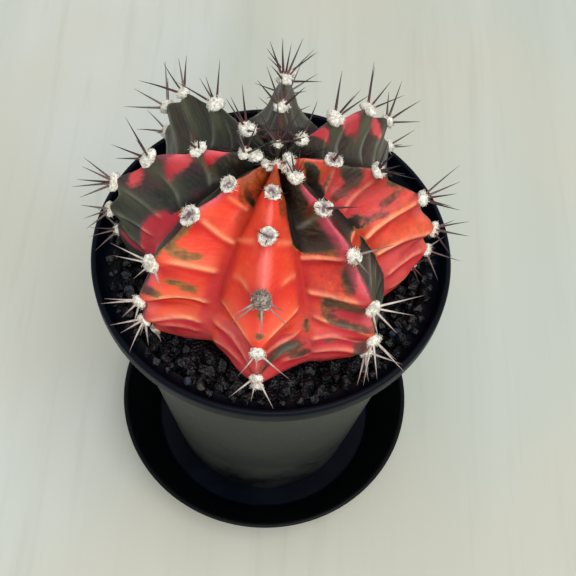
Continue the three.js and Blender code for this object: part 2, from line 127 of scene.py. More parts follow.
# Cross pleats: rib, p and order at the inner end, p and order at the outer end, sag at the middle in
# orders, and strength
PLEATS = (
    (0, -0.30, 1.30, -0.95, 1.64, 0.0, 0.4), (0, -0.24, 2.02, -0.66, 2.16, -0.05, 0.45),
    (0, -0.14, 2.86, -0.78, 2.86, -0.15, 0.8), (0, -0.15, 3.86, -0.88, 3.72, 0.10, 1.0),
    (0, -0.30, 4.42, -0.85, 4.52, -0.12, 0.8),
    (0, 0.20, 1.24, 0.76, 1.48, 0.0, 0.4), (0, 0.40, 2.00, 0.74, 2.10, -0.02, 0.5),
    (0, 0.14, 2.78, 0.72, 2.70, -0.08, 0.8), (0, 0.06, 3.36, 0.76, 3.42, 0.32, 0.9),
    (0, 0.28, 4.02, 0.74, 3.90, 0.0, 0.7), (0, 0.45, 4.28, 0.90, 4.36, 0.0, 0.6),
    (1, 0.12, 1.22, 0.85, 1.46, 0.0, 0.5), (1, 0.12, 2.00, 0.95, 2.40, 0.06, 0.9),
    (1, 0.13, 2.88, 0.84, 3.04, 0.0, 0.9), (1, 0.10, 3.86, 0.84, 3.78, -0.09, 1.1),
    (1, 0.08, 4.86, 0.80, 4.55, -0.09, 1.1), (1, 0.15, 5.06, 0.80, 4.98, -0.10, 0.7),
    (1, -0.15, 1.90, -0.90, 1.62, 0.0, 0.9), (1, -0.15, 2.90, -0.90, 2.62, 0.0, 0.9),
    (1, -0.12, 3.90, -0.85, 3.70, 0.0, 0.8), (1, -0.12, 4.80, -0.85, 4.60, 0.0, 0.7),
    (1, -0.12, 5.50, -0.85, 5.30, 0.0, 0.5),
    (7, -0.12, 1.14, -0.95, 1.57, 0.08, 0.8), (7, -0.10, 2.06, -0.95, 2.20, 0.03, 1.4),
    (7, -0.12, 2.88, -0.90, 2.86, 0.0, 1.0), (7, -0.10, 3.78, -0.88, 3.36, 0.02, 0.9),
    (7, -0.12, 4.40, -0.95, 4.00, -0.16, 1.1), (7, -0.14, 4.82, -0.95, 4.52, -0.14, 0.9),
    (7, 0.15, 1.35, 0.85, 1.60, 0.0, 0.7), (7, 0.15, 2.10, 0.85, 2.30, 0.0, 0.8),
    (7, 0.12, 2.75, 0.85, 2.85, 0.0, 0.9), (7, 0.12, 3.15, 0.85, 3.20, 0.0, 0.9),
    (7, 0.12, 3.70, 0.85, 3.70, 0.0, 0.8), (7, 0.12, 4.50, 0.85, 4.40, 0.0, 0.8),
    (6, -0.15, 1.15, -0.85, 1.50, 0.0, 0.5), (6, -0.12, 2.10, -0.90, 2.28, 0.0, 0.6),
    (6, -0.08, 2.96, -0.95, 3.08, 0.0, 1.2), (6, -0.08, 3.92, -0.95, 3.56, -0.10, 1.2),
    (6, -0.13, 4.68, -0.90, 4.34, -0.08, 1.0), (6, -0.12, 5.30, -0.85, 5.10, 0.0, 0.7),
    (5, -0.20, 0.95, -0.85, 1.05, 0.0, 0.5), (5, -0.12, 1.48, -0.90, 1.70, 0.0, 0.9),
    (5, -0.12, 2.36, -0.85, 2.44, 0.0, 0.9), (5, -0.12, 2.82, -0.85, 2.86, 0.0, 0.9),
    (5, -0.12, 3.60, -0.85, 3.50, 0.0, 0.8), (5, -0.12, 4.50, -0.85, 4.40, 0.0, 0.8),
    (2, 0.14, 1.14, 0.75, 1.60, 0.05, 0.8), (2, 0.18, 2.16, 0.96, 2.46, 0.05, 0.9),
    (2, 0.08, 2.95, 0.70, 2.97, 0.0, 0.7), (2, 0.10, 3.86, 0.80, 3.48, -0.06, 0.9),
    (2, 0.12, 4.45, 0.75, 4.20, 0.0, 0.8), (2, 0.12, 5.20, 0.80, 5.00, 0.0, 0.7),
    (3, 0.14, 0.74, 0.75, 0.86, 0.0, 0.5), (3, 0.12, 1.34, 0.75, 1.62, 0.10, 0.9),
    (3, 0.12, 2.26, 0.70, 2.40, 0.0, 0.6), (3, 0.10, 2.88, 0.80, 2.92, 0.0, 0.7),
    (3, 0.12, 3.80, 0.80, 3.80, 0.0, 0.7),
)

# Flanks with no pleat of their own above get one at each areole: rib and side. Its p and how far it lies
# below the areole in orders, at the inner and the outer end, and its strength
PLAIN_FLANKS = ((2, -1), (3, -1), (4, 1), (4, -1), (5, 1), (6, 1))
PLAIN_PLEAT = (0.14, 0.05, 0.82, 0.20, 0.8)

# Half widths in millimetres of a pleat's relief above and below its line, and place and half width of the
# pale line, partly a painted highlight, and of the hollow's painted shade, measured down from it
RELIEF_WIDTHS = (3.6, 1.15)
LINE_PLACE, LINE_WIDTH = -0.10, 0.78
HOLLOW_PLACE, HOLLOW_WIDTH = 1.7, 1.3

# Share of dark tissue on each rib's clockwise and anticlockwise flank
DARK_FLANKS = np.array([
    (0.0, 0.0), (1.0, 0.0), (1.0, 1.0), (1.0, 1.0), (1.0, 1.0), (1.0, 1.0), (0.0, 1.0), (0.0, 1.0),
])

# Patches: rib, p, order, half width in p, half height in orders, slant in orders for one p, and the
# share that the patch brings. Some dark and brown patches in the upper furrows, on upper flanks near the
# crown and just under the dried flower are partly painted shade; the rest are the skin's own markings.
DARK_PATCHES = (
    (0, 0.42, 3.88, 0.42, 0.16, 0.0, 0.85), (0, 0.74, 4.16, 0.24, 0.17, 0.2, 0.75),
    (0, 0.10, 3.76, 0.10, 0.10, 0.6, 0.5), (0, 0.93, 3.30, 0.08, 0.24, 0.0, 0.6),
    # The second patch here darkens the skin just under the dried flower, partly as its painted shadow.
    (0, 0.0, 2.69, 0.07, 0.06, 0.0, 0.7), (0, 0.0, 2.34, 0.06, 0.12, 0.0, 0.7),
    (1, 0.80, 1.10, 0.32, 0.13, 0.6, 0.82), (1, 0.62, 0.90, 0.20, 0.10, 0.3, 0.6),
    (1, 0.40, 0.02, 0.30, 0.20, 0.0, 0.45),
    (1, 0.12, 2.68, 0.20, 0.10, 0.6, 0.60), (1, 0.37, 2.77, 0.14, 0.07, 0.0, 0.60),
    (1, 0.01, 2.28, 0.10, 0.26, 0.0, 0.70), (1, 0.28, 3.40, 0.13, 0.08, 0.0, 0.58),
    (1, 0.51, 3.47, 0.17, 0.11, 0.3, 0.62), (1, 0.06, 3.68, 0.13, 0.09, 0.5, 0.80),
    (1, -0.60, 4.80, 0.50, 1.60, 0.0, 0.0), (1, -0.90, 3.00, 0.22, 0.30, 0.0, 0.0),
    (2, 0.99, 3.60, 0.42, 0.86, 0.35, 0.0), (2, 0.50, 4.52, 0.36, 0.13, -0.65, 0.4),
    (2, 0.10, 0.78, 0.15, 0.20, 2.4, 0.0), (2, 0.09, 1.60, 0.15, 0.22, 2.8, 0.0),
    (2, 0.05, 2.50, 0.09, 0.15, 2.8, 0.0), (2, 0.84, 1.96, 0.14, 0.11, 0.0, 0.72),
    (4, 0.0, 0.62, 0.14, 0.24, 0.0, 0.75), (4, 0.0, 1.50, 0.07, 0.30, 0.0, 0.80),
    (5, -0.11, 0.66, 0.18, 0.22, -2.3, 0.0), (5, -0.09, 1.65, 0.16, 0.23, -2.0, 0.0),
    (5, -0.10, 2.54, 0.12, 0.16, -2.2, 0.12),
    (6, -0.60, 0.74, 0.48, 0.27, -0.65, 0.9), (6, -0.94, 1.30, 0.26, 0.30, -0.4, 0.95),
    (6, -0.55, 1.30, 0.34, 0.11, -0.4, 0.50), (6, -0.11, 1.56, 0.21, 0.26, -1.5, 1.0),
    (6, -0.38, 1.88, 0.26, 0.14, -0.3, 0.75), (6, -0.72, 1.88, 0.34, 0.16, 0.0, 0.45),
    (6, -0.88, 2.68, 0.28, 0.20, 0.2, 0.70), (6, -0.56, 2.83, 0.30, 0.09, 0.3, 0.48),
    (6, -0.20, 2.66, 0.18, 0.08, -0.5, 0.56), (6, 0.0, 2.40, 0.07, 0.14, 0.0, 0.7),
    (7, -0.62, 0.78, 0.54, 1.28, -0.08, 1.0), (7, -0.66, 1.60, 0.50, 0.46, -0.08, 1.0),
    (7, -0.23, 1.62, 0.17, 0.38, -0.10, 1.0),
    (7, -0.20, 0.88, 0.16, 0.17, -1.8, 0.45),
    (7, -0.13, 2.43, 0.12, 0.22, -2.0, 0.9), (7, -0.33, 3.33, 0.38, 0.42, 0.35, 0.72),
    (7, -0.26, 3.36, 0.26, 0.14, 0.3, 0.12), (7, -0.62, 4.18, 0.15, 0.07, 0.2, 0.6),
    (7, -0.10, 4.70, 0.14, 0.34, -1.0, 0.7), (7, 0.55, 2.34, 0.48, 0.16, 0.3, 0.0),
)
CRIMSON_PATCHES = (
    (0, 0.0, 4.45, 1.20, 1.15, 0.0, 0.70), (0, -0.96, 3.20, 0.24, 1.60, 0.0, 0.45),
    (0, 0.98, 3.30, 0.24, 1.30, 0.0, 0.45), (1, -0.50, 4.40, 0.60, 2.00, 0.0, 1.0),
    (1, 0.96, 4.20, 0.24, 1.30, 0.0, 0.50), (1, 0.03, 1.50, 0.10, 0.40, 0.0, 0.7),
    (1, 0.05, 4.20, 0.16, 0.50, 0.0, 0.4), (1, 0.50, 5.20, 0.60, 0.65, 0.0, 0.7),
    (2, 0.98, 3.58, 0.48, 0.96, 0.35, 1.0), (2, 0.50, 4.52, 0.44, 0.22, -0.65, 1.0),
    (2, 0.10, 1.70, 0.22, 1.50, 0.0, 0.8), (2, 0.84, 1.96, 0.24, 0.22, 0.0, 1.0),
    (4, 0.0, 2.20, 1.10, 2.40, 0.0, 0.85), (4, 0.0, 1.10, 0.22, 0.80, 0.0, 1.0),
    (5, -0.20, 1.70, 0.45, 1.70, -0.6, 0.9), (6, -0.50, 2.00, 0.60, 1.00, 0.0, 0.60),
    (6, 0.0, 2.60, 0.10, 1.10, 0.0, 0.5), (6, -0.60, 4.60, 0.60, 1.00, 0.0, 0.65),
    (7, -0.62, 3.10, 0.60, 1.30, 0.0, 0.42), (7, -0.05, 1.40, 0.12, 1.70, -0.2, 0.9),
    (7, -0.60, 4.60, 0.60, 0.90, 0.0, 0.7), (7, -0.22, 0.95, 0.28, 0.30, -1.8, 0.9),
    (7, -0.26, 3.36, 0.30, 0.20, 0.3, 0.8),
)
BROWN_PATCHES = (
    (0, 0.0, -0.34, 1.00, 0.36, 0.0, 0.75), (7, -0.45, 2.85, 0.70, 0.85, 0.0, 0.46),
    (6, -0.15, 2.80, 1.00, 1.30, 0.0, 0.38), (0, -0.96, 0.90, 0.22, 0.60, 0.0, 0.8),
    (0, 0.70, 0.20, 0.34, 0.55, 0.0, 0.9), (0, 0.60, 4.00, 0.50, 0.40, 0.0, 0.6),
    (1, 0.45, 0.38, 0.58, 0.62, 0.3, 1.0), (1, 0.74, 1.12, 0.44, 0.26, 0.35, 1.0),
    (1, 0.90, 1.50, 0.28, 0.50, 0.0, 0.6), (2, 0.55, 1.30, 0.45, 0.26, 0.4, 0.7),
    (2, 0.45, 0.38, 0.36, 0.28, 0.0, 0.8), (3, -0.4, 2.50, 0.60, 2.00, 0.0, 0.5),
    (3, 0.42, 2.58, 0.36, 0.36, 0.0, 0.8), (4, 0.0, 2.20, 1.10, 2.40, 0.0, 0.95),
    (5, -0.50, 1.60, 0.60, 1.60, 0.0, 0.7), (6, -0.45, 1.60, 0.60, 1.20, -0.4, 0.60),
    (6, -0.85, 1.35, 0.36, 0.50, -0.4, 1.0), (6, -0.70, 1.85, 0.40, 0.22, 0.0, 0.7),
    (6, -0.50, 2.60, 0.40, 0.20, 0.0, 0.3), (7, -0.64, 0.60, 0.60, 1.30, -0.3, 1.0),
    (7, -0.30, 3.36, 0.36, 0.40, 0.3, 0.5), (7, 0.50, 3.30, 0.60, 1.00, 0.0, 0.6),
)
# Keels: pale pink bands down the crests, partly the skin's own colour and partly a painted highlight.
KEEL_PATCHES = (
    (0, -0.02, 0.58, 0.11, 0.30, 0.0, 1.0), (0, 0.0, 1.58, 0.13, 0.36, 0.0, 1.0),
    (0, 0.0, 2.50, 0.05, 0.20, 0.0, 0.3), (1, 0.02, 1.50, 0.08, 0.34, 0.0, 0.5),
    (1, 0.03, 4.30, 0.10, 0.30, 0.0, 0.6), (1, 0.03, 3.30, 0.08, 0.25, 0.0, 0.5),
    (7, -0.05, 0.60, 0.12, 0.30, 0.0, 1.0), (7, -0.03, 1.52, 0.13, 0.34, 0.0, 1.0),
    (7, -0.02, 2.46, 0.08, 0.30, 0.0, 0.9), (7, 0.0, 3.45, 0.08, 0.25, 0.0, 0.7),
    (6, -0.02, 0.60, 0.08, 0.30, 0.0, 0.5), (6, -0.04, 3.40, 0.08, 0.30, 0.0, 0.4),
    (2, 0.03, 0.70, 0.07, 0.28, 0.0, 0.6), (2, 0.03, 1.50, 0.07, 0.30, 0.0, 0.7),
    (5, -0.02, 1.62, 0.06, 0.22, 0.0, 0.5),
)

# Spines of the areoles seen in the photo: rib and order of the areole, then turn from straight down the
# rib, lift from its skin, and length in millimetres
SPINE_FANS = {
    (2, 0): ((60, 70, 8), (-50, 60, 9), (10, 75, 8), (150, 55, 9), (-120, 60, 8)),
    (2, 1): ((-70, 25, 11), (80, 75, 9), (150, 60, 7)),
    (2, 2): ((-70, 35, 11), (160, 55, 9), (-25, 45, 9), (-15, 20, 9)),
    (2, 3): ((-155, 60, 9), (165, 55, 10), (135, 55, 10), (120, 55, 11), (90, 50, 9)),
    (2, 4): ((155, 25, 9), (135, 20, 9), (110, 25, 9)),
    (2, 5): ((-90, 55, 9), (155, 20, 8), (145, 25, 8), (115, 30, 8)),
    (3, 0): ((20, 55, 9), (-15, 25, 8), (-35, 30, 10), (-145, 15, 10), (150, 45, 9)),
    (3, 1): ((15, 30, 11), (-15, 25, 9), (-25, 20, 9), (-65, 45, 10)),
    (3, 2): ((40, 50, 11), (-15, 55, 10), (-65, 55, 9), (-60, 45, 10)),
    (3, 3): ((140, 35, 10), (110, 25, 11), (-145, 40, 11), (-85, 50, 9)),
    (3, 4): ((-160, 65, 9), (130, 20, 8), (-10, 65, 9)),
    (4, 2): ((40, 50, 10), (15, 50, 11), (-5, 45, 10), (-35, 55, 11), (-50, 45, 10), (160, 30, 9),
             (-110, 10, 9)),
    (5, 0): ((140, 40, 9), (25, 25, 9), (-150, 50, 9), (170, 30, 10)),
    (5, 1): ((55, 40, 11), (20, 20, 9), (10, 40, 9), (-15, 50, 9)),
    (5, 2): ((85, 55, 11), (70, 50, 10), (20, 50, 10), (-15, 45, 10)),
    (5, 3): ((85, 45, 9), (170, 35, 11), (-150, 45, 10), (-120, 25, 9)),
    (5, 4): ((-150, 30, 8), (-45, 70, 9), (15, 65, 9)),
    (6, 1): ((-65, 80, 8), (60, 30, 3), (180, 25, 2.5)),
    (6, 2): ((160, 65, 9), (-155, 70, 9), (-100, 65, 9), (-75, 60, 9)),
    (6, 3): ((115, 55, 11), (60, 55, 10), (35, 50, 9), (15, 35, 9), (-5, 45, 10)),
    (6, 4): ((70, 50, 9), (-180, 40, 9), (-145, 35, 10), (-110, 25, 9)),
    (6, 5): ((90, 45, 9), (-145, 45, 9), (-90, 30, 8)),
    (6, 6): ((-130, 20, 9), (-120, 20, 9), (-175, 20, 9)),
    (7, 0): ((100, 60, 5), (130, 50, 6), (70, 55, 5), (-160, 60, 6), (160, 50, 6)),
    (7, 1): ((55, 40, 8), (-120, 30, 2.5), (150, 30, 2.5)),
    (7, 2): ((85, 35, 9), (-35, 70, 9), (-100, 25, 4)),
    (7, 3): ((100, 30, 11), (75, 45, 9), (20, 30, 9), (-105, 55, 9)),
    (7, 4): ((180, 70, 11), (35, 50, 9), (-50, 60, 9), (-50, 40, 11)),
    (7, 5): ((-115, 30, 9), (-135, 25, 9), (150, 35, 9), (60, 40, 8)),
    (1, 3): ((-80, 25, 10), (-65, 30, 9), (130, 60, 9), (105, 25, 9)),
    (1, 4): ((-165, 40, 9), (-150, 50, 9), (150, 35, 9), (0, 35, 9)),
    (1, 5): ((-170, 35, 9), (165, 25, 9), (130, 45, 9), (-10, 40, 9), (25, 40, 9)),
    (1, 6): ((125, 20, 8), (170, 30, 8)),
    (0, 2): ((-90, 55, 9), (-55, 35, 8), (110, 55, 9), (65, 40, 9), (5, 50, 8)),
    (0, 3): ((-25, 12, 9), (80, 40, 9), (175, 65, 5), (0, 20, 5)),
    (0, 4): ((-50, 35, 9), (-20, 65, 6), (65, 55, 8)),
    (0, 5): (),
}
# Number of upper areoles on each rib that only carry stubs
STUB_AREOLES = (2, 3, 0, 0, 0, 0, 1, 0)
# Areoles with a worn middle and a raised ring of wool: rib and order
WORN_AREOLES = ((0, 0), (0, 1), (1, 1), (1, 2), (6, 1), (7, 1))
# Ribs whose lower areoles carry pale spines
FRONT_RIBS = (0, 1, 7)
# Turns from straight down the rib of the spines of an areole that has no fan above, and of stubs
FAN_TURNS = (0, 52, -52, 102, -102)
STUB_TURNS = (0, 110, -110)
# Random stray in degrees of a spine seen in the photo, of a stub and of a fan's spine; lift and length of
# a stub; and lift of the highest and the lowest fans, with the length of their spines
SPINE_STRAY, STUB_STRAY, FAN_STRAY = 2, 15, 6
STUB_LIFT, STUB_LENGTH = (15, 40), (2.4, 3.6)
FAN_LIFTS, FAN_LENGTH = (58, 30), (7.5, 10.8)
# Crown spines: number, length, height of their roots, and place and spread of the roots in X and Y
CROWN_SPINES = 40
CROWN_SPINE_LENGTH = (5.5, 10.0)
CROWN_SPINE_ROOT = 135.5
CROWN_SPINE_MIDDLE = (0, 3.5)
CROWN_SPINE_SPREAD = (2.8, 1.8)
# How far a spine's root goes under its areole, in millimetres
SPINE_SEAT = 0.4
# Wool tufts as shares of their radius: height, and depth of a worn tuft's dimple, with the dimple's half
# width as an angle from the top in radians; and a fibre's radius at its four points, in millimetres
TUFT_HEIGHT = 0.62
DIMPLE_DEPTH = 0.45
DIMPLE_WIDTH = 0.85
FIBRE_RADII = np.array([0.060, 0.055, 0.045, 0.020])
# Extra wool on the crown: x, y, height and radius of each tuft
CROWN_TUFTS = (
    (-0.4, 5.2, 136.0, 1.5), (-1.7, -1.8, 138.0, 1.1), (0.2, -1.4, 138.4, 1.0), (3.0, -0.4, 138.8, 1.3),
    (4.4, -5.6, 139.6, 1.4), (-4.7, 0.2, 138.9, 1.6), (2.2, -2.6, 138.6, 1.2),
)
# Dried flower: rib and order of its areole, and its half sizes across and along
FLOWER_AREOLE = (0, 2)
FLOWER_WIDE, FLOWER_HIGH = 1.9, 2.5

# Stones: the pitch and height of each layer, the pitch of the rings at the pot's wall, and each ring's
# radius, height and largest stone
GRIT_LAYERS = ((4.5, 91.8), (4.5, 93.1), (4.6, 94.5))
RING_PITCH = 4.0
WALL_RINGS = ((37.2, 96.3, 2.1), (39.3, 97.6, 1.9), (40.9, 98.8, 1.5))
# Room for stones: heights, and the radius of the pot's inside at each
WALL_HEIGHTS = (90, 96.9, 98.8, 101.5)
WALL_RADII = (38.4, 39.3, 42.4, 43.2)
# Section of the grit bed, and the rows of it that form its lumpy top
BED_RADII = (ROOT_R + 0.3, ROOT_R + 0.3, 16, 24, 27, 29.5, 32, 34.5, 37, 37.9, 37.45)
BED_HEIGHTS = (MIX_TOP, 92.4, 92.5, 92.6, 92.7, 92.8, 92.8, 92.8, 92.8, 92.6, MIX_TOP)
BED_TOP = slice(2, 9)

# Sections of the pot and the saucer: radius and height of each corner
POT_SECTION = (
    (0, 4.0), (25.9, 4.0), (26.5, 2.0), (28.5, 2.0), (40.2, 95.4), (43.4, 97.0), (45.0, 97.8),
    (45.0, 101.4), (44.5, 102.0), (43.7, 102.0), (43.4, 101.5), (42.6, 98.8), (39.3, 96.9),
    (38.55, 94.4), (27.45, 5.6), (0, 5.6),
)
SAUCER_SECTION = (
    (0, 0), (36.0, 0), (36.8, 0.6), (45.2, 15.0), (45.5, 15.5), (45.2, 16.0), (44.0, 16.0),
    (35.2, 3.0), (34.5, 2.0), (0, 2.0),
)
# Cutters of the drain holes and of the foot's notches: number, radius of the circle they stand on, height
# of their middle, and size
HOLES = 6
HOLE_CIRCLE = 18
HOLE_HEIGHT = 4.8
HOLE_RADIUS, HOLE_DEPTH = 1.8, 6
FOOT_NOTCHES = 4
FOOT_NOTCH_CIRCLE = 27.5
FOOT_NOTCH_HEIGHT = 2
FOOT_NOTCH_SIZE = (8, 3.6, 3)

# The photograph's camera: the photo's width in pixels, the field in degrees, how far the camera looks
# down and is turned in degrees, its distance from the middle of the pot's rim and that point's height in
# millimetres, and how far right of and below the photo's middle it is seen, in pixels
PHOTO_WIDTH = 576
FIELD = 32
LOOK_DOWN = 57.84
ROLL = 2.946
RIM_DISTANCE = 251.2
RIM_HEIGHT = 102
RIM_RIGHT, RIM_BELOW = -15.82, -40.08
SENSOR_WIDTH = 36


# Shape of the body


def bell(x, width, power=2):
    """e to the minus x / width raised to an even power: 1 at nought, and about a third at the width."""
    return np.exp(-((x / width) ** power))


def smoothstep(x, low, high):
    """0 below low, 1 above high, and 3y^2 - 2y^3 between them, where y is the share of the way."""
    y = np.clip((x - low) / (high - low), 0, 1)
    return y * y * (3 - 2 * y)


def rounded_sine(theta):
    """Size of the sine of theta raised to a power a little under one, for a squarer oval."""
    return np.abs(np.sin(np.radians(theta))) ** ROUNDNESS


def rounded_cosine(theta):
    """Cosine of theta with its size raised to the same power."""
    c = np.cos(np.radians(theta))
    return np.sign(c) * np.abs(c) ** ROUNDNESS


def even_angles(count):
    """Angles in radians of that many even steps round a circle."""
    return np.arange(count) * 2 * np.pi / count


def polar(radius, angle, height):
    """Points at a radius and an angle in radians about the Z axis, at a height."""
    return np.stack(np.broadcast_arrays(radius * np.cos(angle), radius * np.sin(angle), height), -1)


def crest_line(theta, size):
    """Radius and height of a rib's crest: a squared oval, less a bell-shaped dip at the crown."""
    r = CREST_R * size * rounded_sine(theta)
    dip = CROWN_DIP * bell(r, CROWN_DIP_WIDTH)
    return r, BODY_CENTRE_Z + CREST_HALF_HEIGHT * rounded_cosine(theta) - dip


def furrow_line(theta, azimuth):
    """Radius and height of the furrow: a smaller oval that widens towards the base, most at one side,
    less a narrower dip at the crown that is a little deeper than the crest's."""
    off = (azimuth - BASE_BULGE_AZIMUTH + 180) % 360 - 180
    extra = FURROW_BASE_EXTRA + BASE_BULGE * bell(off, BASE_BULGE_WIDTH)
    r = (FURROW_R + extra * smoothstep(theta, *FURROW_WIDENS)) * rounded_sine(theta)
    stretch = np.where(theta > 90, FURROW_LOW_STRETCH, 1.0)
    deeper, dip_width = 0.8, 8
    dip = (CROWN_DIP + deeper) * bell(r, dip_width)
    return r, BODY_CENTRE_Z + FURROW_HALF_HEIGHT * rounded_cosine(theta) * stretch - dip


def level_at(theta):
    """Areole level at a profile angle, straight between the listed angles."""
    return np.interp(theta, LEVEL_THETA, np.arange(len(LEVEL_THETA)))


def theta_at(level):
    """Profile angle at an areole level, the reverse of level_at."""
    return np.interp(level, np.arange(len(LEVEL_THETA)), LEVEL_THETA)


def half_steps(side):
    """Half the angle from each rib to its neighbour, anticlockwise for side 1 and clockwise for -1."""
    neighbour = RIB_AZIMUTH[(np.arange(RIB_COUNT) - side) % RIB_COUNT]
    return ((neighbour - RIB_AZIMUTH) * side + 720) % 360 / 2


def azimuth_at(rib, p):
    """Azimuth in degrees of p on a rib: the crest's, plus p times the half step on that side."""
    return RIB_AZIMUTH[rib] + p * np.where(p < 0, half_steps(-1)[rib], half_steps(1)[rib])


def flank_share(p, crest_r, furrow_r, theta, full, low):
    """Share of the way out from furrow to crest at p: that of a straight chord across the sector, swelled
    or hollowed by a half sine wave. Near the base it turns into a power of 1 - p, for a sharper keel.
    Near the crown it turns into 1 less a power of p, for a round section that is fuller on a full rib."""
    a = (np.hypot(p, CREST_SOFTNESS) - CREST_SOFTNESS) / (np.hypot(1, CREST_SOFTNESS) - CREST_SOFTNESS)
    half, least_depth = np.radians(SECTOR / 2), 0.3
    outer = np.maximum(crest_r, furrow_r + least_depth)
    chord = outer * furrow_r * np.sin(half) / (
        outer * np.sin(a * half) + furrow_r * np.sin((1 - a) * half))
    share = (chord - furrow_r) / (outer - furrow_r)
    upper = 1 - smoothstep(theta, *UPPER_TO_LOWER)
    swell = full + (low - full) * smoothstep(theta, *FULL_TO_LOW) - UPPER_HOLLOW * upper
    share = share + swell * np.sin(np.pi * np.clip(share, 0, 1))
    crown = CROWN_ROUNDING * (1 - smoothstep(theta, *CROWN_TO_FLANK))
    round_share = 1 - a ** (CROWN_POWER + CROWN_FULLNESS * np.maximum(full, 0))
    share = share * (1 - crown) + round_share * crown
    keel = np.clip(1 - a, 0, 1) ** (BASE_SHARPNESS - KEEL_GAIN * low)
    base = smoothstep(theta, *FLANK_TO_BASE)
    return share * (1 - base) + keel * base


def ribbed_surface(theta, rib, p):
    """Points of the body before its pleats: between the furrow and crest lines by flank_share, with a
    notch across the crest between two areoles, a squared sine along the rib times a bell across it."""
    crest_r, crest_z = crest_line(theta, RIB_SIZE[rib])
    azimuth = azimuth_at(rib, p)
    furrow_r, furrow_z = furrow_line(theta, azimuth)
    share = flank_share(p, crest_r, furrow_r, theta, RIB_FULL[rib], RIB_LOW[rib])
    t = (level_at(theta) - RIB_PHASE[rib]) % 1.0
    notch = NOTCH_DEPTH * np.interp(theta, NOTCHES_START, (0, 1))
    notch = notch * np.sin(np.pi * t ** NOTCH_SKEW) ** 2 * bell(p, NOTCH_WIDTH)
    turn = np.radians(theta)
    r = furrow_r + (crest_r - furrow_r) * share - notch * np.sin(turn)
    z = furrow_z + (crest_z - furrow_z) * share - NOTCH_DROP * notch * np.cos(turn)
    return polar(r, np.radians(azimuth), z)


def unit(vectors):
    """Vectors divided by their lengths."""
    return vectors / np.maximum(np.linalg.norm(vectors, axis=-1, keepdims=True), 1e-9)


def outward_normals(points):
    """Cross product of the steps along and across a grid that goes clockwise round the body."""
    down = np.gradient(points, axis=0)
    across = np.roll(points, -1, 1) - np.roll(points, 1, 1)
    normal = unit(np.cross(down, across))
    outward = points - np.array([0, 0, BODY_CENTRE_Z])
    return normal if (normal * outward).sum(-1).mean() > 0 else -normal


def pleat_lines():
    """All pleats with those of the plain flanks, as an array of rows."""
    p_in, gap_in, p_out, gap_out, strength = PLAIN_PLEAT
    rows = list(PLEATS)
    for rib, side in PLAIN_FLANKS:
        rows += [(rib, side * p_in, order + gap_in, side * p_out, order + gap_out, 0.0, strength)
                 for order in range(len(LEVEL_THETA) - 1)]
    return np.array(rows, float)


def pleat_fields(theta, rib, p):
    """Relief, line and painted shade of the pleats. The gap from a pleat's line is measured down the body in
    millimetres. Relief is a wide bell above the line and a narrow one below, the line, partly a painted
    highlight, is a thin bell, and the painted shade is a bell just below it. Each fades at the pleat's ends
    and at the body's base."""
    relief, line, pleat_shade = np.zeros((3,) + theta.shape)
    for rib_number, p_in, order_in, p_out, order_out, sag, strength in pleat_lines():
        number = int(rib_number)
        columns = np.flatnonzero((rib[0] == number) & (np.sign(p[0]) == np.sign(p_out)))
        q, inner, outer = np.abs(p[0, columns]), abs(p_in), abs(p_out)
        along = (q - inner) / (outer - inner)
        order = order_in + (order_out - order_in) * along + 4 * sag * along * (1 - along)
        gap = (theta[:, columns] - theta_at(order + RIB_PHASE[number])) * DEGREE_DOWN
        ends = smoothstep(q, inner - 0.14, inner + 0.10) * (1 - smoothstep(q, outer - 0.06, outer + 0.14))
        swell = np.where(gap < 0, bell(gap, RELIEF_WIDTHS[0]), bell(gap, RELIEF_WIDTHS[1]))
        shapes = (
            (relief, strength * ends * swell),
            (line, strength * ends ** 2 * bell(gap - LINE_PLACE, LINE_WIDTH)),
            (pleat_shade, strength * ends * bell(gap - HOLLOW_PLACE, HOLLOW_WIDTH)),
        )
        for field, shape in shapes:
            field[:, columns] = np.maximum(field[:, columns], shape)
    fade = 1 - smoothstep(theta, *PLEATS_END)
    return relief * fade, np.clip(line * fade, 0, 1), np.clip(pleat_shade * fade, 0, 1)


def paint(field, azimuth, level, patches):
    """Lays patches over a field in order. A patch's reach is the fourth-power mean of the offsets in p
    and order over its half sizes, and of their product, with the order's offset taken from its slanted
    middle line. Its edge is a smooth step, about two millimetres wide or narrower on a small patch."""
    half_edge, largest_edge = 1.1, 0.6
    for rib, p, order, half_width, half_height, slant, share in patches:
        across = ((azimuth - azimuth_at(rib, p) + 180) % 360 - 180) / (SECTOR / 2)
        along = (level - RIB_PHASE[rib] - order - slant * across) / half_height
        across = across / half_width
        reach = (across ** 4 + along ** 4 + (across * along) ** 2) ** 0.25
        size = min(half_width * P_ACROSS, half_height * ORDER_DOWN)
        edge = min(half_edge, largest_edge * size) / size
        weight = 1 - smoothstep(reach, 1 - edge, 1 + edge)
        field = field + (share - field) * weight
    return field


def body_grid(rows, per_rib):
    """Angles, ribs and shares of the body's grid: even rows down the profile, and columns that stand
    closer at the crest, by the size of u raised to 1.25."""
    theta_line = np.linspace(THETA_START, THETA_END, rows)
    u = (np.arange(per_rib) + 0.5) / per_rib * 2 - 1
    share_line = np.tile(-np.sign(u) * np.abs(u) ** 1.25, RIB_COUNT)
    rib_line = np.repeat(np.arange(RIB_COUNT), per_rib)
    theta = np.repeat(theta_line[:, None], RIB_COUNT * per_rib, 1)
    return theta, np.tile(rib_line, (rows, 1)), np.tile(share_line, (rows, 1))


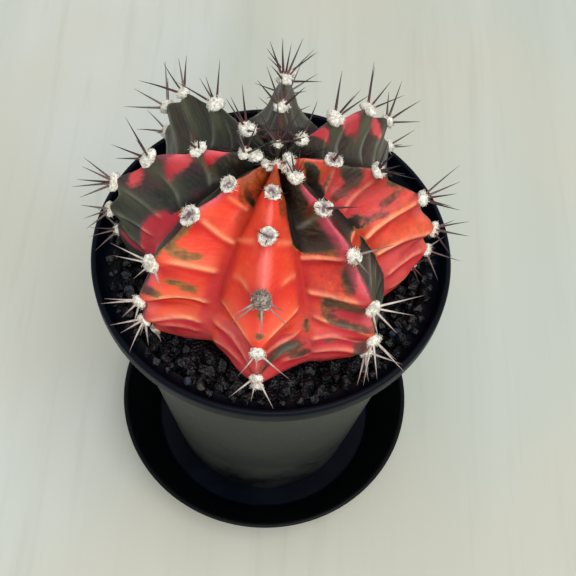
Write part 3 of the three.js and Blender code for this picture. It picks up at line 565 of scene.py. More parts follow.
def body_fields(theta, rib, p, relief, line, pleat_shade):
    """Shares of each tissue and shade at every grid point. Dark, crimson, brown and keel are painted
    patches; the keel is partly a painted highlight, and some dark and brown patches partly painted shade.
    Blush is a bell across the crest just below each areole, swell is the pleats' relief, which the finish
    turns paler as painted light, furrow is a smooth step towards both edges that fades in the lower half
    and brings painted shade, and depth is a wider one that fades away from the crown and brings
    near-black painted shade there."""
    azimuth, level = azimuth_at(rib, p), level_at(theta)
    edge = np.abs(p)
    side = smoothstep(p, -0.10, 0.10)
    dark = DARK_FLANKS[rib, 0] * (1 - side) + DARK_FLANKS[rib, 1] * side
    above, gap = 0.4, 0.14
    below = (level - RIB_PHASE[rib] + above) % 1.0 - above - gap
    lower = smoothstep(theta, 62, 92)
    painted = {key: paint(np.zeros_like(theta), azimuth, level, patches)
               for key, patches in (("crimson", CRIMSON_PATCHES), ("brown", BROWN_PATCHES),
                                    ("keel", KEEL_PATCHES))}
    return painted | {
        "dark": paint(dark, azimuth, level, DARK_PATCHES),
        "blush": bell(p, 0.42) * bell(below, 0.22) * smoothstep(theta, 10, 22),
        "swell": np.clip(relief, 0, 1),
        "pleat": line,
        "pleat_shade": pleat_shade,
        # furrow also brings painted shade into the furrows in the finish.
        "furrow": smoothstep(edge, 0.55, 0.98) * smoothstep(theta, 10, 24) * (1 - 0.75 * lower),
        # depth carries painted shade: dark tissue near the crown turns near black.
        "depth": smoothstep(edge, 0.15, 0.75) * (1 - smoothstep(theta, 14, 58)),
    }


# Making meshes


def put_mesh(name, points, faces, material, fields=None, smooth=True, flank=None):
    """One mesh object at the origin from points in millimetres and arrays of face corners. Fields become
    point attributes, and flank gives one UV pair a face corner."""
    mesh = bpy.data.meshes.new(name)
    corners = np.concatenate([block.ravel() for block in faces]).astype(np.int32)
    sizes = np.concatenate([np.full(len(block), block.shape[1]) for block in faces])
    starts = np.concatenate([[0], np.cumsum(sizes)[:-1]]).astype(np.int32)
    mesh.vertices.add(len(points))
    mesh.vertices.foreach_set("co", (np.asarray(points) * MM).astype(np.float32).ravel())
    mesh.loops.add(len(corners))
    mesh.loops.foreach_set("vertex_index", corners)
    mesh.polygons.add(len(sizes))
    mesh.polygons.foreach_set("loop_start", starts)
    mesh.update(calc_edges=True)
    mesh.polygons.foreach_set("use_smooth", np.full(len(sizes), smooth))
    for key, values in (fields or {}).items():
        layer = mesh.attributes.new(key, "FLOAT", "POINT")
        layer.data.foreach_set("value", np.asarray(values, np.float32).ravel())
    if flank is not None:
        layer = mesh.uv_layers.new(name="flank")
        layer.data.foreach_set("uv", (flank * MM).astype(np.float32).ravel())
    mesh.materials.append(material)
    piece = bpy.data.objects.new(name, mesh)
    bpy.context.scene.collection.objects.link(piece)
    return piece


def grid_faces(rows, columns):
    """Four-cornered faces of a grid whose columns close on themselves."""
    index = np.arange(rows * columns).reshape(rows, columns)
    ring = np.roll(index, -1, 1)
    return np.stack([index[:-1], ring[:-1], ring[1:], index[1:]], -1).reshape(-1, 4)


def fan_faces(centre, ring, flip):
    """Triangles from one centre point to a closed ring of points."""
    ahead = np.roll(ring, -1)
    middle = np.full_like(ring, centre)
    return np.stack([middle, ring, ahead] if flip else [middle, ahead, ring], -1)


def closed_rings(rings, sides):
    """Faces of a stack of rings that closes on one point at each end. The rings' points come first, then
    the point next to the first ring, then the one next to the last."""
    around = np.arange(sides)
    return [grid_faces(rings, sides), fan_faces(rings * sides, around, False),
            fan_faces(rings * sides + 1, around + (rings - 1) * sides, True)]


def copied(faces, count, size):
    """Faces for that many copies in a row of a shape with size points."""
    offset = (np.arange(count) * size)[:, None, None]
    return [(block[None] + offset).reshape(-1, block.shape[1]) for block in faces]


def joined(parts):
    """Sets of points, faces and one value a point as one set."""
    points, faces, values = zip(*parts)
    starts = np.cumsum([0] + [len(block) for block in points])
    blocks = [block + start for start, group in zip(starts, faces) for block in group]
    return np.vstack(points), blocks, np.concatenate(values)


def turned(profile, segments):
    """A solid turned about the Z axis from radius and height pairs, one ring of points for each pair. The
    first and last pairs lie on the axis and become single points."""
    profile = np.asarray(profile, float)
    rings = profile[1:-1, None]
    points = polar(rings[..., 0], even_angles(segments), rings[..., 1]).reshape(-1, 3)
    points = np.vstack([points, [0, 0, profile[0, 1]], [0, 0, profile[-1, 1]]])
    return points, closed_rings(len(rings), segments)


def rounded(profile, radius, steps=4):
    """A profile with each inner corner replaced by a short curve between the points at radius, or 0.45
    of the edge, on both sides of it: quadratic, with the corner as its middle control point."""
    profile = np.asarray(profile, float)
    most_of_edge = 0.45
    t = np.linspace(0, 1, steps + 1)[:, None]
    out = [profile[:1]]
    for before, corner, after in zip(profile, profile[1:], profile[2:]):
        start, end = (corner + unit(edge) * min(radius, most_of_edge * np.linalg.norm(edge))
                      for edge in (before - corner, after - corner))
        out.append((1 - t) ** 2 * start + 2 * t * (1 - t) * corner + t ** 2 * end)
    out.append(profile[-1:])
    return np.vstack(out)


def sideways(angle, first, second):
    """Directions at angles in radians, from the first of two square directions towards the second."""
    return np.cos(angle)[..., None] * first + np.sin(angle)[..., None] * second


def as_arrays(rows):
    """One array for each column of a list of rows."""
    return [np.array(column) for column in zip(*rows)]


def tubes(paths, radii, sides):
    """Closed tapered tubes along many paths at once. A ring is the path's point plus its radius times
    cosine and sine of even angles along two directions square to the path; both ends close on a point.
    The last result is each point's share of the way along its tube."""
    count, rings, _ = paths.shape
    along = unit(np.gradient(paths, axis=1))
    upright = np.abs(along[:, :1, 2:]) > 0.9
    helper = np.where(upright, np.array([1.0, 0, 0]), np.array([0, 0, 1.0]))
    first = unit(np.cross(along, helper))
    second = np.cross(along, first)
    circle = sideways(even_angles(sides), first[:, :, None], second[:, :, None])
    body = paths[:, :, None] + radii[:, :, None, None] * circle
    points = np.concatenate([body.reshape(count, -1, 3), paths[:, :1], paths[:, -1:]], 1)
    faces = copied(closed_rings(rings, sides), count, points.shape[1])
    share = np.concatenate([np.repeat(np.linspace(0, 1, rings), sides), [0, 1]])
    return points.reshape(-1, 3), faces, np.tile(share, count)


def areole_list():
    """Place, down-the-rib direction, side direction, outward normal, profile angle, rib and order of
    every areole, from points on the crest a little above and below it."""
    found = []
    step = 1.5
    for rib, phase in enumerate(RIB_PHASE):
        azimuth = math.radians(RIB_AZIMUTH[rib])
        side = np.array([-math.sin(azimuth), math.cos(azimuth), 0.0])
        outward = np.array([math.cos(azimuth), math.sin(azimuth), 1.0])
        for order, level in enumerate(np.arange(phase, LAST_AREOLE_LEVEL)):
            theta = theta_at(level)
            angles = np.array([theta, theta + step, theta - step])
            place, below, above = ribbed_surface(angles, np.full(3, rib), np.zeros(3))
            down = unit(below - above)
            normal = unit(np.cross(side, down))
            if normal @ outward < 0:
                normal = -normal
            found.append(dict(place=place, down=down, side=side, normal=normal, theta=theta,
                              rib=rib, order=order))
    return found


def dress(piece, slot, *nodes):
    """The piece rides on the object's one body and stands for the nodes named. Its slot is not used."""
    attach(piece, "root")
    if nodes:
        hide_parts(*nodes)
    return piece


# Making materials


def linear(red, green, blue):
    """Linear colour from three numbers of 0 to 255 as seen on a screen."""
    values = []
    for value in (red, green, blue):
        v = value / 255
        values.append(v / 12.92 if v <= 0.04045 else ((v + 0.055) / 1.055) ** 2.4)
    return (*values, 1.0)


class Finish:
    """A node material and short ways to add nodes to it. Each of them gives the new node's output."""

    def __init__(self, name, roughness=0.5, specular=0.5):
        self.material = bpy.data.materials.new(name)
        self.material.use_nodes = True
        self.tree = self.material.node_tree
        self.shader = self.tree.nodes["Principled BSDF"]
        self.set("Roughness", roughness)
        self.set("Specular IOR Level", specular)
        self.place = self.add("ShaderNodeTexCoord", "Object")

    def feed(self, socket, value):
        """Links an output to a socket, or sets the socket's own value."""
        if isinstance(value, bpy.types.NodeSocket):
            self.tree.links.new(value, socket)
        else:
            socket.default_value = value

    def set(self, key, value):
        """Feeds one of the shader's sockets."""
        self.feed(self.shader.inputs[key], value)

    def add(self, kind, output, inputs=None, **properties):
        """A node of a kind, with its sockets fed and its properties set."""
        node = self.tree.nodes.new(kind)
        for key, value in properties.items():
            setattr(node, key, value)
        for key, value in (inputs or {}).items():
            self.feed(node.inputs[key], value)
        return node.outputs[output]

    def field(self, name):
        """A point attribute of the mesh."""
        return self.add("ShaderNodeAttribute", "Fac", attribute_name=name)

    def height(self):
        """Height above the table in metres."""
        return self.add("ShaderNodeSeparateXYZ", "Z", {"Vector": self.place})

    def scaled(self, vector, size):
        """A vector multiplied by three numbers."""
        return self.add("ShaderNodeMapping", "Vector", {"Vector": vector, "Scale": size})

    def noise(self, scale, detail=3.0, rough=0.55, vector=None, twist=0.0):
        """Cloudy noise of 0 to 1 at the object's coordinates, or at a vector."""
        place = self.place if vector is None else vector
        return self.add("ShaderNodeTexNoise", "Fac", {
            "Vector": place, "Scale": scale, "Detail": detail, "Roughness": rough, "Distortion": twist})

    def cells(self, scale):
        """Distance to the nearest of many scattered points."""
        return self.add("ShaderNodeTexVoronoi", "Distance", {"Vector": self.place, "Scale": scale})

    def math(self, operation, *values):
        """One sum on numbers or outputs."""
        return self.add("ShaderNodeMath", "Value", dict(enumerate(values)), operation=operation)

    def times(self, first, second, plus=None):
        """The first times the second, and plus a third where one is given."""
        if plus is None:
            return self.math("MULTIPLY", first, second)
        return self.math("MULTIPLY_ADD", first, second, plus)

    def ramp(self, value, low, high, start=0.0, end=1.0):
        """A smooth step from start to end while the value goes from low to high."""
        return self.add("ShaderNodeMapRange", "Result", {
            "Value": value, "From Min": low, "From Max": high, "To Min": start, "To Max": end},
            interpolation_type="SMOOTHSTEP")

    def mix(self, share, first, second):
        """The first colour with a share of the second."""
        return self.add("ShaderNodeMix", 2, {0: share, 6: first, 7: second}, data_type="RGBA")

    def bump(self, height, distance, strength=1.0, after=None):
        """A normal bent by a height, over an earlier bump where one is given."""
        inputs = {"Height": height, "Distance": distance, "Strength": strength}
        if after is not None:
            inputs["Normal"] = after
        return self.add("ShaderNodeBump", "Normal", inputs)


class Flesh(Finish):
    """The body's finish, with the noises and shares that its tissues have in common: blotch, speckle,
    grain, streak and tone are noises, crimson, brown and share (of dark tissue) are ragged fields."""

    def __init__(self, look):
        super().__init__("variegated_flesh", 0.42, 0.26)
        self.look = look
        flank = self.add("ShaderNodeUVMap", "UV", uv_map="flank")
        streak_place = self.scaled(flank, (0.32, 1.0, 1.0))
        self.blotch = self.noise(520, 3, 0.6)
        self.speckle = self.noise(1500, 3, 0.7)
        self.grain = self.noise(1100, 2, 0.6, streak_place)
        self.streak = self.noise(620, 3, 0.6, streak_place, 0.3)
        self.tone = self.noise(90, 2, 0.5)
        wander = self.times(self.blotch, 1.50, self.times(self.streak, 0.90, -1.50))
        self.wander = self.times(self.speckle, 0.60, wander)
        self.crimson = self.ramp(self.ragged("crimson", 0.5), 0.1, 0.95)
        self.brown = self.ramp(self.ragged("brown", 0.6), 0.05, 1.0)
        self.share = self.ragged("dark", 0.5)

    def ragged(self, name, amount):
        """A field moved by the wander where it lies between nought and one, most at a half."""
        field = self.field(name)
        room = self.times(field, self.math("SUBTRACT", 1.0, field))
        room = self.times(room, 4 * amount, 0.04)
        return self.times(self.wander, room, field)

    def red_tissue(self):
        """Red with scarlet clouds, paler as painted light where a pleat swells, turning brown-orange and
        rose by their shares, with painted shade under each pleat and in the furrows, and deeper red below
        each areole."""
        red = self.mix(self.ramp(self.tone, 0.38, 0.62), self.look.red, self.look.scarlet)
        # Painted light: the swelling top of each pleat is painted paler.
        red = self.mix(self.times(self.field("swell"), 0.50), red, linear(242, 122, 82))
        red = self.mix(self.ramp(self.streak, 0.45, 0.75, 0.0, 0.30), red, linear(240, 106, 70))
        orange = self.mix(self.ramp(self.streak, 0.3, 0.7), linear(128, 56, 26), self.look.brown)
        red = self.mix(self.brown, red, orange)
        rose = self.mix(self.ramp(self.tone, 0.40, 0.60), self.look.rose, linear(182, 48, 58))
        red = self.mix(self.crimson, red, rose)
        deep = self.mix(self.crimson, linear(200, 28, 30), linear(176, 26, 46))
        deep = self.mix(self.brown, deep, linear(110, 34, 18))
        # Painted shade under each pleat, and a deeper red halo below each areole.
        low = self.math("MAXIMUM", self.times(self.field("pleat_shade"), 0.95), self.field("blush"))
        red = self.mix(low, red, deep)
        # Painted shade: the red tissue turns deep red towards the furrows.
        furrow_shade = self.mix(self.crimson, linear(166, 36, 18), linear(186, 44, 60))
        return self.mix(self.times(self.field("furrow"), 0.80), red, furrow_shade)

    def dark_tissue(self):
        """Streaked dark green with pale speckles, purple over rose and umber over brown, greener below each
        areole, greyer as painted light where a pleat swells, and nearly black as painted shade deep in the
        furrows of the crown."""
        dark = self.mix(self.ramp(self.streak, 0.35, 0.68), linear(34, 37, 29), self.look.dark)
        dark = self.mix(self.ramp(self.speckle, 0.52, 0.76, 0.0, 0.35), dark, linear(86, 90, 72))
        dark = self.mix(self.ramp(self.tone, 0.42, 0.62, 0.0, 0.5), dark, linear(40, 36, 40))
        dark = self.mix(self.times(self.crimson, 0.5), dark, linear(80, 42, 56))
        umber = self.mix(self.ramp(self.streak, 0.35, 0.7), linear(33, 25, 17), linear(70, 58, 41))
        dark = self.mix(self.brown, dark, umber)
        dark = self.mix(self.times(self.field("blush"), 0.45), dark, linear(96, 102, 62))
        # Painted light: the swelling top of each pleat is painted greyer.
        dark = self.mix(self.times(self.field("swell"), 0.25), dark, linear(92, 92, 80))
        # Painted shade: near black in the furrows about the crown.
        return self.mix(self.times(self.field("depth"), 0.75), dark, linear(17, 13, 12))

    def both_tissues(self):
        """Red tissue that passes through olive into dark tissue as its share grows."""
        olive = self.mix(self.ramp(self.grain, 0.4, 0.6), linear(138, 112, 52), linear(130, 86, 46))
        olive = self.mix(self.crimson, olive, linear(126, 56, 64))
        olive = self.mix(self.brown, olive, linear(88, 42, 22))
        skin = self.mix(self.ramp(self.share, 0.15, 0.55, 0.0, 0.85), self.red_tissue(), olive)
        return self.mix(self.ramp(self.share, 0.45, 0.95), skin, self.dark_tissue())

    def marked(self, skin):
        """The skin with pink keels and pale lines along the pleats, both partly painted highlight, and
        painted shade in the furrows of its dark places.
        """
        # The keel's pink is partly a painted highlight along the crest.
        keel = self.times(self.field("keel"), self.ramp(self.streak, 0.2, 0.6, 0.6, 1.0))
        keel_colour = self.mix(self.crimson, linear(248, 118, 106), linear(228, 100, 110))
        keel_colour = self.mix(self.ramp(self.share, 0.4, 0.7), keel_colour, linear(190, 78, 96))
        skin = self.mix(self.times(keel, 0.85), skin, keel_colour)
        # The pale pleat line is partly the skin's own stripe and partly a painted highlight along the ridge.
        line = self.times(self.field("pleat"), self.ramp(self.noise(240, 2, 0.5), 0.3, 0.6, 0.5, 1.0))
        line_colour = self.mix(self.crimson, self.look.line, linear(236, 126, 110))
        line_colour = self.mix(self.ramp(self.share, 0.3, 0.6), line_colour, linear(110, 110, 94))
        skin = self.mix(self.times(line, 0.92), skin, line_colour)
        # Painted shade: the dark tissue turns near black in the furrows.
        shade = self.times(self.field("furrow"), self.ramp(self.share, 0.4, 0.7))
        return self.mix(shade, skin, linear(26, 18, 16))


def flesh_finish(look):
    """Variegated flesh: red, brown-orange and rose tissue under dark tissue, whose edges pass through olive
    in grains and streaks, with pink keels and pale pleat lines that are partly painted highlight, painted
    shade under the pleats, in the furrows and about the crown, and a waxy, slightly clear skin."""
    f = Flesh(look)
    f.set("Base Color", f.marked(f.both_tissues()))
    f.set("Subsurface Weight", 0.10)
    f.set("Subsurface Radius", (0.9, 0.35, 0.2))
    f.set("Subsurface Scale", 0.0018)
    f.set("Roughness", f.times(f.field("furrow"), 0.5, f.ramp(f.streak, 0.3, 0.7, 0.34, 0.48)))
    relief = f.bump(f.grain, 0.00022, 0.55)
    relief = f.bump(f.cells(1700), 0.00006, 0.5, relief)
    f.set("Normal", f.bump(f.blotch, 0.0004, 0.35, relief))
    return f.material


def wool_finish(look):
    """Felted cream wool with fluffy bumps, purple-brown and patchy at the worn middle."""
    f = Finish("areole_wool", 0.95, 0.1)
    fluff = f.noise(1500, 4, 0.7)
    tint = f.mix(f.ramp(fluff, 0.35, 0.65), linear(196, 186, 160), look.wool)
    worn = f.times(f.field("worn"), f.ramp(f.noise(900), 0.36, 0.56, 0.35, 1.0))
    f.set("Base Color", f.mix(worn, tint, look.worn))
    f.set("Sheen Weight", 0.3)
    f.set("Normal", f.bump(fluff, 0.0005, 0.5))
    return f.material


def spine_finish(look):
    """Horny, finely mottled spines: red-brown at the root and dark purple-grey above, or pale straw that
    darkens to the tip, by the attribute pale."""
    f = Finish("spine_horn", 0.5, 0.2)
    mottle = f.noise(900, 2, 0.6)
    share = f.field("share")
    dark = f.mix(f.ramp(share, 0.0, 0.5), look.root, look.dark)
    pale = f.mix(f.ramp(share, 0.3, 1.0), look.pale, linear(146, 128, 122))
    tint = f.mix(f.field("pale"), dark, pale)
    f.set("Base Color", f.mix(f.ramp(mottle, 0.4, 0.7, 0.0, 0.3), tint, linear(48, 36, 36)))
    f.set("Normal", f.bump(mottle, 0.0001, 0.5))
    return f.material


def flower_finish(look):
    """Dried grey-brown down of the old flower, darker at its foot."""
    f = Finish("dried_down", 0.95, 0.1)
    fluff = f.noise(1600, 4, 0.7)
    dry = f.mix(f.ramp(fluff, 0.35, 0.62), linear(96, 82, 76), look.dry)
    f.set("Base Color", f.mix(f.ramp(f.field("share"), 0.25, 0.0), dry, linear(70, 46, 38)))
    f.set("Normal", f.bump(fluff, 0.0005, 0.7))
    return f.material


def lava_finish(look):
    """Black lava, pitted and slightly glazed, with pale grains that are partly dust and partly painted
    glints on the facets. Each stone is lighter or darker by its tint, and a few are blue or grey."""
    f = Finish("lava_grit", 0.4, 0.40)
    tint = f.field("tint")
    pits = f.cells(1300)
    fine = f.noise(1700, 3, 0.65)
    stone = f.mix(f.ramp(tint, 0.1, 0.9), linear(1, 2, 4), look.lava)
    stone = f.mix(f.ramp(tint, 0.94, 0.97, 0.0, 0.7), stone, linear(34, 43, 60))
    stone = f.mix(f.ramp(tint, 0.03, 0.0, 0.0, 0.6), stone, linear(66, 62, 58))
    # Pale flecks by noise: partly dust, partly painted glints on the facets.
    f.set("Base Color", f.mix(f.ramp(fine, 0.58, 0.74, 0.0, 0.42), stone, look.dust))
    f.set("Roughness", f.ramp(fine, 0.3, 0.7, 0.26, 0.55))
    f.set("Normal", f.bump(pits, 0.0004, 0.6, f.bump(fine, 0.0005, 0.6)))
    return f.material


def pot_finish(look):
    """Moulded black plastic, satin, with a painted grey reflection of the table on the wall that darkens
    towards the foot as painted shade, near black on the rim, with a ragged dark edge at the foot, dusty
    clouds low down and a few specks."""
    f = Finish("pot_plastic", 0.46, 0.10)
    z = f.height()
    cloud = f.noise(60, 3, 0.55)
    fine = f.noise(2600, 2, 0.6)
    # Painted reflection and shade: grey high on the wall, darker towards the foot.
    wall = f.mix(f.ramp(z, 0.012, 0.080), linear(44, 48, 45), look.wall)
    edge = f.times(f.noise(150, 4, 0.65), -0.060, z)
    wall = f.mix(f.ramp(edge, -0.006, -0.022), wall, linear(17, 20, 23))
    body = f.mix(f.ramp(z, 0.0945, 0.0985), wall, look.rim)
    low = f.times(f.ramp(z, 0.045, 0.012), f.ramp(cloud, 0.42, 0.66))
    body = f.mix(f.times(low, 0.25), body, linear(84, 90, 78))
    speck = f.times(f.ramp(f.cells(210), 0.055, 0.02), f.ramp(z, 0.094, 0.07))
    body = f.mix(speck, body, linear(168, 166, 152))
    f.set("Base Color", body)
    f.set("Roughness", f.ramp(cloud, 0.3, 0.7, 0.40, 0.52))
    f.set("Normal", f.bump(fine, 0.00004, 0.6))
    return f.material


def saucer_finish(look):
    """Moulded black plastic: near-black walls and a navy floor that is partly a painted reflection, with
    faint dust and water marks.
    """
    f = Finish("saucer_plastic", 0.42, 0.12)
    cloud = f.noise(70, 4, 0.6)
    fine = f.noise(2400, 2, 0.6)
    # The navy floor is partly a painted reflection.
    floor = f.mix(f.ramp(cloud, 0.4, 0.7, 0.0, 0.6), linear(2, 5, 16), look.saucer_floor)
    body = f.mix(f.ramp(f.height(), 0.0022, 0.0032), floor, look.saucer_wall)
    speck = f.ramp(f.cells(170), 0.04, 0.015)
    f.set("Base Color", f.mix(f.times(speck, 0.6), body, linear(96, 98, 92)))
    f.set("Roughness", f.ramp(cloud, 0.3, 0.7, 0.36, 0.5))
    f.set("Normal", f.bump(fine, 0.00004, 0.6))
    return f.material


def mix_finish():
    """Moist peat: dark brown crumbs with paler fibres."""
    f = Finish("potting_peat", 0.95, 0.2)
    crumbs = f.noise(500, 5, 0.7)
    fibre = f.noise(1200, 2, 0.5, f.scaled(f.place, (0.2, 1.0, 1.0)))
    peat = f.mix(f.ramp(crumbs, 0.35, 0.7), linear(34, 24, 18), linear(78, 58, 42))
    f.set("Base Color", f.mix(f.ramp(fibre, 0.62, 0.72, 0.0, 0.7), peat, linear(128, 102, 74)))
    f.set("Normal", f.bump(crumbs, 0.001, 0.9))
    return f.material


def table_finish(look):
    """Pale whitewashed table: a grey-white with cloudy warm and cool places and a very faint grain."""
    f = Finish("pale_table", 0.65, 0.2)
    grain = f.noise(9, 4, 0.55, f.scaled(f.place, (1.0, 0.12, 1.0)), 0.6)
    fine = f.noise(160, 3, 0.6, f.scaled(f.place, (1.0, 0.06, 1.0)))
    cloud = f.noise(7, 2, 0.5)
    base = f.mix(f.ramp(grain, 0.32, 0.68), linear(184, 188, 176), look.table)
    base = f.mix(f.ramp(cloud, 0.40, 0.62, 0.0, 0.5), base, look.cloud)
    f.set("Base Color", f.mix(f.ramp(fine, 0.5, 0.8, 0.0, 0.3), base, linear(170, 170, 156)))
    f.set("Normal", f.bump(fine, 0.00003, 0.4))
    return f.material


# Settings that a user would change


def colour(name, description, red, green, blue):
    """A colour property whose default is given as three numbers of 0 to 255 as seen on a screen."""
    return FloatVectorProperty(
        name=name, description=description, subtype="COLOR", size=4, min=0, max=1,
        default=linear(red, green, blue))


def whole(name, description, default, least=0):
    """A whole number."""
    return IntProperty(name=name, description=description, default=default, min=least)


def measure(name, description, default, least):
    """A length property in metres."""
    return FloatProperty(
        name=name, description=description, default=default, min=least, unit="LENGTH",
        subtype="DISTANCE", precision=5)


class BodyLook(bpy.types.PropertyGroup):
    rows: whole("Rows", "Rows of the body's grid, crown to base", 224, 40)
    columns: whole("Columns a rib", "Columns of the grid on one rib", 44, 12)
    pleat_height: measure("Pleat height", "Height of the cross pleats on the flanks", 0.000765, 0)
    wrinkle_height: measure("Wrinkle height", "Height of the skin's soft unevenness", 0.00016, 0)
    red: colour("Red", "Colour of the red tissue", 230, 76, 50)
    scarlet: colour("Scarlet", "Colour of the deeper clouds in the red tissue", 222, 60, 43)
    rose: colour("Rose", "Colour of the rose tissue", 200, 74, 80)
    brown: colour("Brown", "Colour of the brown-orange tissue", 168, 76, 36)
    dark: colour("Dark", "Colour of the dark tissue", 54, 57, 45)
    # The pleat line colour is partly a painted highlight along each pleat's ridge.
    line: colour("Pleat line", "Colour of the pale lines along the pleats", 253, 168, 122)


class WoolLook(bpy.types.PropertyGroup):
    upper_radius: measure("Upper tuft radius", "Radius of the wool near the crown", 0.00195, 0.0005)
    lower_radius: measure("Lower tuft radius", "Radius of the wool near the base", 0.00130, 0.0005)
    fibres: whole("Fibres", "Fibres on one tuft", 110)
    fibre_length: measure("Fibre length", "Length of a wool fibre", 0.00090, 0.0002)
    wool: colour("Wool", "Colour of the fresh wool", 250, 249, 242)
    worn: colour("Worn wool", "Colour of a worn tuft's middle", 112, 84, 92)
    dry: colour("Dried flower", "Colour of the down on the old flower", 186, 170, 158)
    seed: whole("Seed", "Seed of the tufts' variation", 11)


class SpineLook(bpy.types.PropertyGroup):
    root_radius: measure("Root radius", "Radius of a spine where it leaves the wool", 0.00029, 0.00005)
    length_share: FloatProperty(
        name="Length share", description="Multiplies every spine's length", default=1.0, min=0.2, max=1.3)
    curl: FloatProperty(
        name="Curl", description="Sideways bend of a spine as a share of its length", default=0.05, min=0)
    root: colour("Root", "Colour of a dark spine's root", 104, 50, 42)
    dark: colour("Dark horn", "Colour of the upper spines", 62, 50, 52)
    pale: colour("Pale horn", "Colour of the lower spines", 208, 196, 184)
    seed: whole("Seed", "Seed of the spines' variation", 23)


class GritLook(bpy.types.PropertyGroup):
    smallest: measure("Smallest stone", "Radius of the smallest stones", 0.0019, 0.0004)
    largest: measure("Largest stone", "Radius of the largest stones", 0.0033, 0.0005)
    shapes: whole("Shapes", "Number of different stone shapes", 16, 1)
    lava: colour("Lava", "Colour of the lighter stones", 9, 11, 17)
    # The dust colour stands partly for dust and partly for painted glints on the stones.
    dust: colour("Dust", "Colour of the pale grains on the stones", 82, 90, 104)
    seed: whole("Seed", "Seed of the scatter", 37)


class PotLook(bpy.types.PropertyGroup):
    segments: whole("Segments", "Segments round the pot and saucer", 160, 24)
    edge: measure("Edge rounding", "Size of the rounding on moulded edges", 0.0006, 0)
    # The pot wall's grey is a painted reflection of the table on near-black plastic.
    wall: colour("Pot wall", "Colour of the pot's wall below the rim", 59, 62, 57)
    rim: colour("Rim", "Colour of the pot's rim", 2, 6, 17)
    saucer_wall: colour("Saucer wall", "Colour of the saucer's wall", 4, 5, 7)
    # The saucer floor's navy is partly a painted reflection.
    saucer_floor: colour("Saucer floor", "Colour of the saucer's floor", 5, 9, 23)


class StageLook(bpy.types.PropertyGroup):
    sky: FloatProperty(
        name="Room light", description="Strength of the even room light", default=0.68, min=0)
    lamp: FloatProperty(
        name="Lamp power", description="Power of the soft lamp above", default=17.5, min=0, unit="POWER")
    lamp_size: measure("Lamp size", "Side of the square lamp", 1.3, 0.01)
    lamp_place: FloatVectorProperty(
        name="Lamp place", description="Where the lamp hangs", default=(0.38, -0.62, 1.28),
        unit="LENGTH", subtype="TRANSLATION")
    table: colour("Table", "Colour of the table", 201, 205, 198)
    cloud: colour("Table cloud", "Colour of the table's warm places", 197, 191, 172)
    tint: FloatVectorProperty(
        name="Room tint", description="Colour of the room light", subtype="COLOR",
        default=(0.95, 0.98, 1.0), min=0, max=1)


LOOKS = (
    ("cactus_body_look", BodyLook), ("cactus_wool_look", WoolLook), ("cactus_spine_look", SpineLook),
    ("cactus_grit_look", GritLook), ("cactus_pot_look", PotLook), ("cactus_stage_look", StageLook),
)


# Operators


class CACTUS_OT_body(bpy.types.Operator):
    """Add the ribbed body with its pleats, crown and root"""

    bl_idname = "cactus.add_body"
    bl_label = "Body"

    def execute(self, context):
        look = context.scene.cactus_body_look
        theta, rib, p = body_grid(look.rows, look.columns)
        relief, line, pleat_shade = pleat_fields(theta, rib, p)
        points = ribbed_surface(theta, rib, p)
        normals = outward_normals(points)
        points = points + normals * (relief * look.pleat_height / MM)[..., None]
        points = points + normals * (self.wrinkles(points) * look.wrinkle_height / MM)[..., None]
        fields = body_fields(theta, rib, p, relief, line, pleat_shade)
        flank = self.flank_map(theta[:, 0], azimuth_at(rib, p)[0])
        piece = self.closed_body(points, fields, flesh_finish(look), flank)
        dress(piece, "cactus_flesh", "cactus")
        return {"FINISHED"}

    @staticmethod
    def wrinkles(points):
        """Mean of sine waves along five fixed directions, with wavelengths from 3 to 9 mm."""
        rng = np.random.default_rng(3)
        count = 5
        waves = np.zeros(points.shape[:-1])
        for _ in range(count):
            direction = unit(rng.normal(size=3))
            length = rng.uniform(3, 9)
            waves += np.sin(points @ direction * 2 * np.pi / length + rng.uniform(0, 6))
        return waves / count

    @staticmethod
    def closed_body(points, fields, material, flank):
        """The grid closed by a crown point, an underside ring on the grit, and a tapered root that ends
        in a point."""
        rows, columns, _ = points.shape
        crown_sink, neck_sink = 0.3, 0.1
        edge = points[-1]
        angle = np.arctan2(edge[:, 1], edge[:, 0])
        underside = np.column_stack([edge[:, :2] * UNDERSIDE_SHARE, np.full(columns, GRIT_TOP)])
        neck = polar(ROOT_R, angle, GRIT_TOP - neck_sink)
        tip = polar(ROOT_TIP_R, angle, ROOT_BOTTOM)
        crown = [0, 0, points[0, :, 2].mean() - crown_sink]
        everything = np.vstack([points.reshape(-1, 3), underside, neck, tip, crown, [0, 0, ROOT_BOTTOM]])
        spread = {key: np.concatenate([values.ravel(), np.tile(values[-1], 3), [values[0].mean(), 0]])
                  for key, values in fields.items()}
        faces = closed_rings(rows + 3, columns)
        return put_mesh("cactus_body", everything, faces, material, spread, flank=flank)

    @staticmethod
    def flank_map(theta, azimuth):
        """Two lengths for each face corner of the closed body: round it on a circle of FLANK_RADIUS, and
        down its profile by DEGREE_DOWN, with three more steps for the underside, neck and tip. The last
        column's faces end at the full turn, so that none runs back to nought."""
        one_degree = np.radians(FLANK_RADIUS)
        u = -(azimuth - azimuth[0]) % 360 * one_degree
        ahead = np.append(u[1:], 360 * one_degree)
        v = np.append(theta, theta[-1] + np.array([6, 30, 60])) * DEGREE_DOWN
        top, bottom, middle = v[:-1, None], v[1:, None], (u + ahead) / 2

        def corners(*pairs):
            """Pairs of one length round and one down, for each face's corners in turn."""
            pairs = [np.stack(np.broadcast_arrays(*pair), -1) for pair in pairs]
            return np.stack(pairs, -2).reshape(-1, 2)

        return np.concatenate([
            corners((u, top), (ahead, top), (ahead, bottom), (u, bottom)),
            corners((middle, v[0]), (ahead, v[0]), (u, v[0])),
            corners((middle, v[-1]), (u, v[-1]), (ahead, v[-1]))])


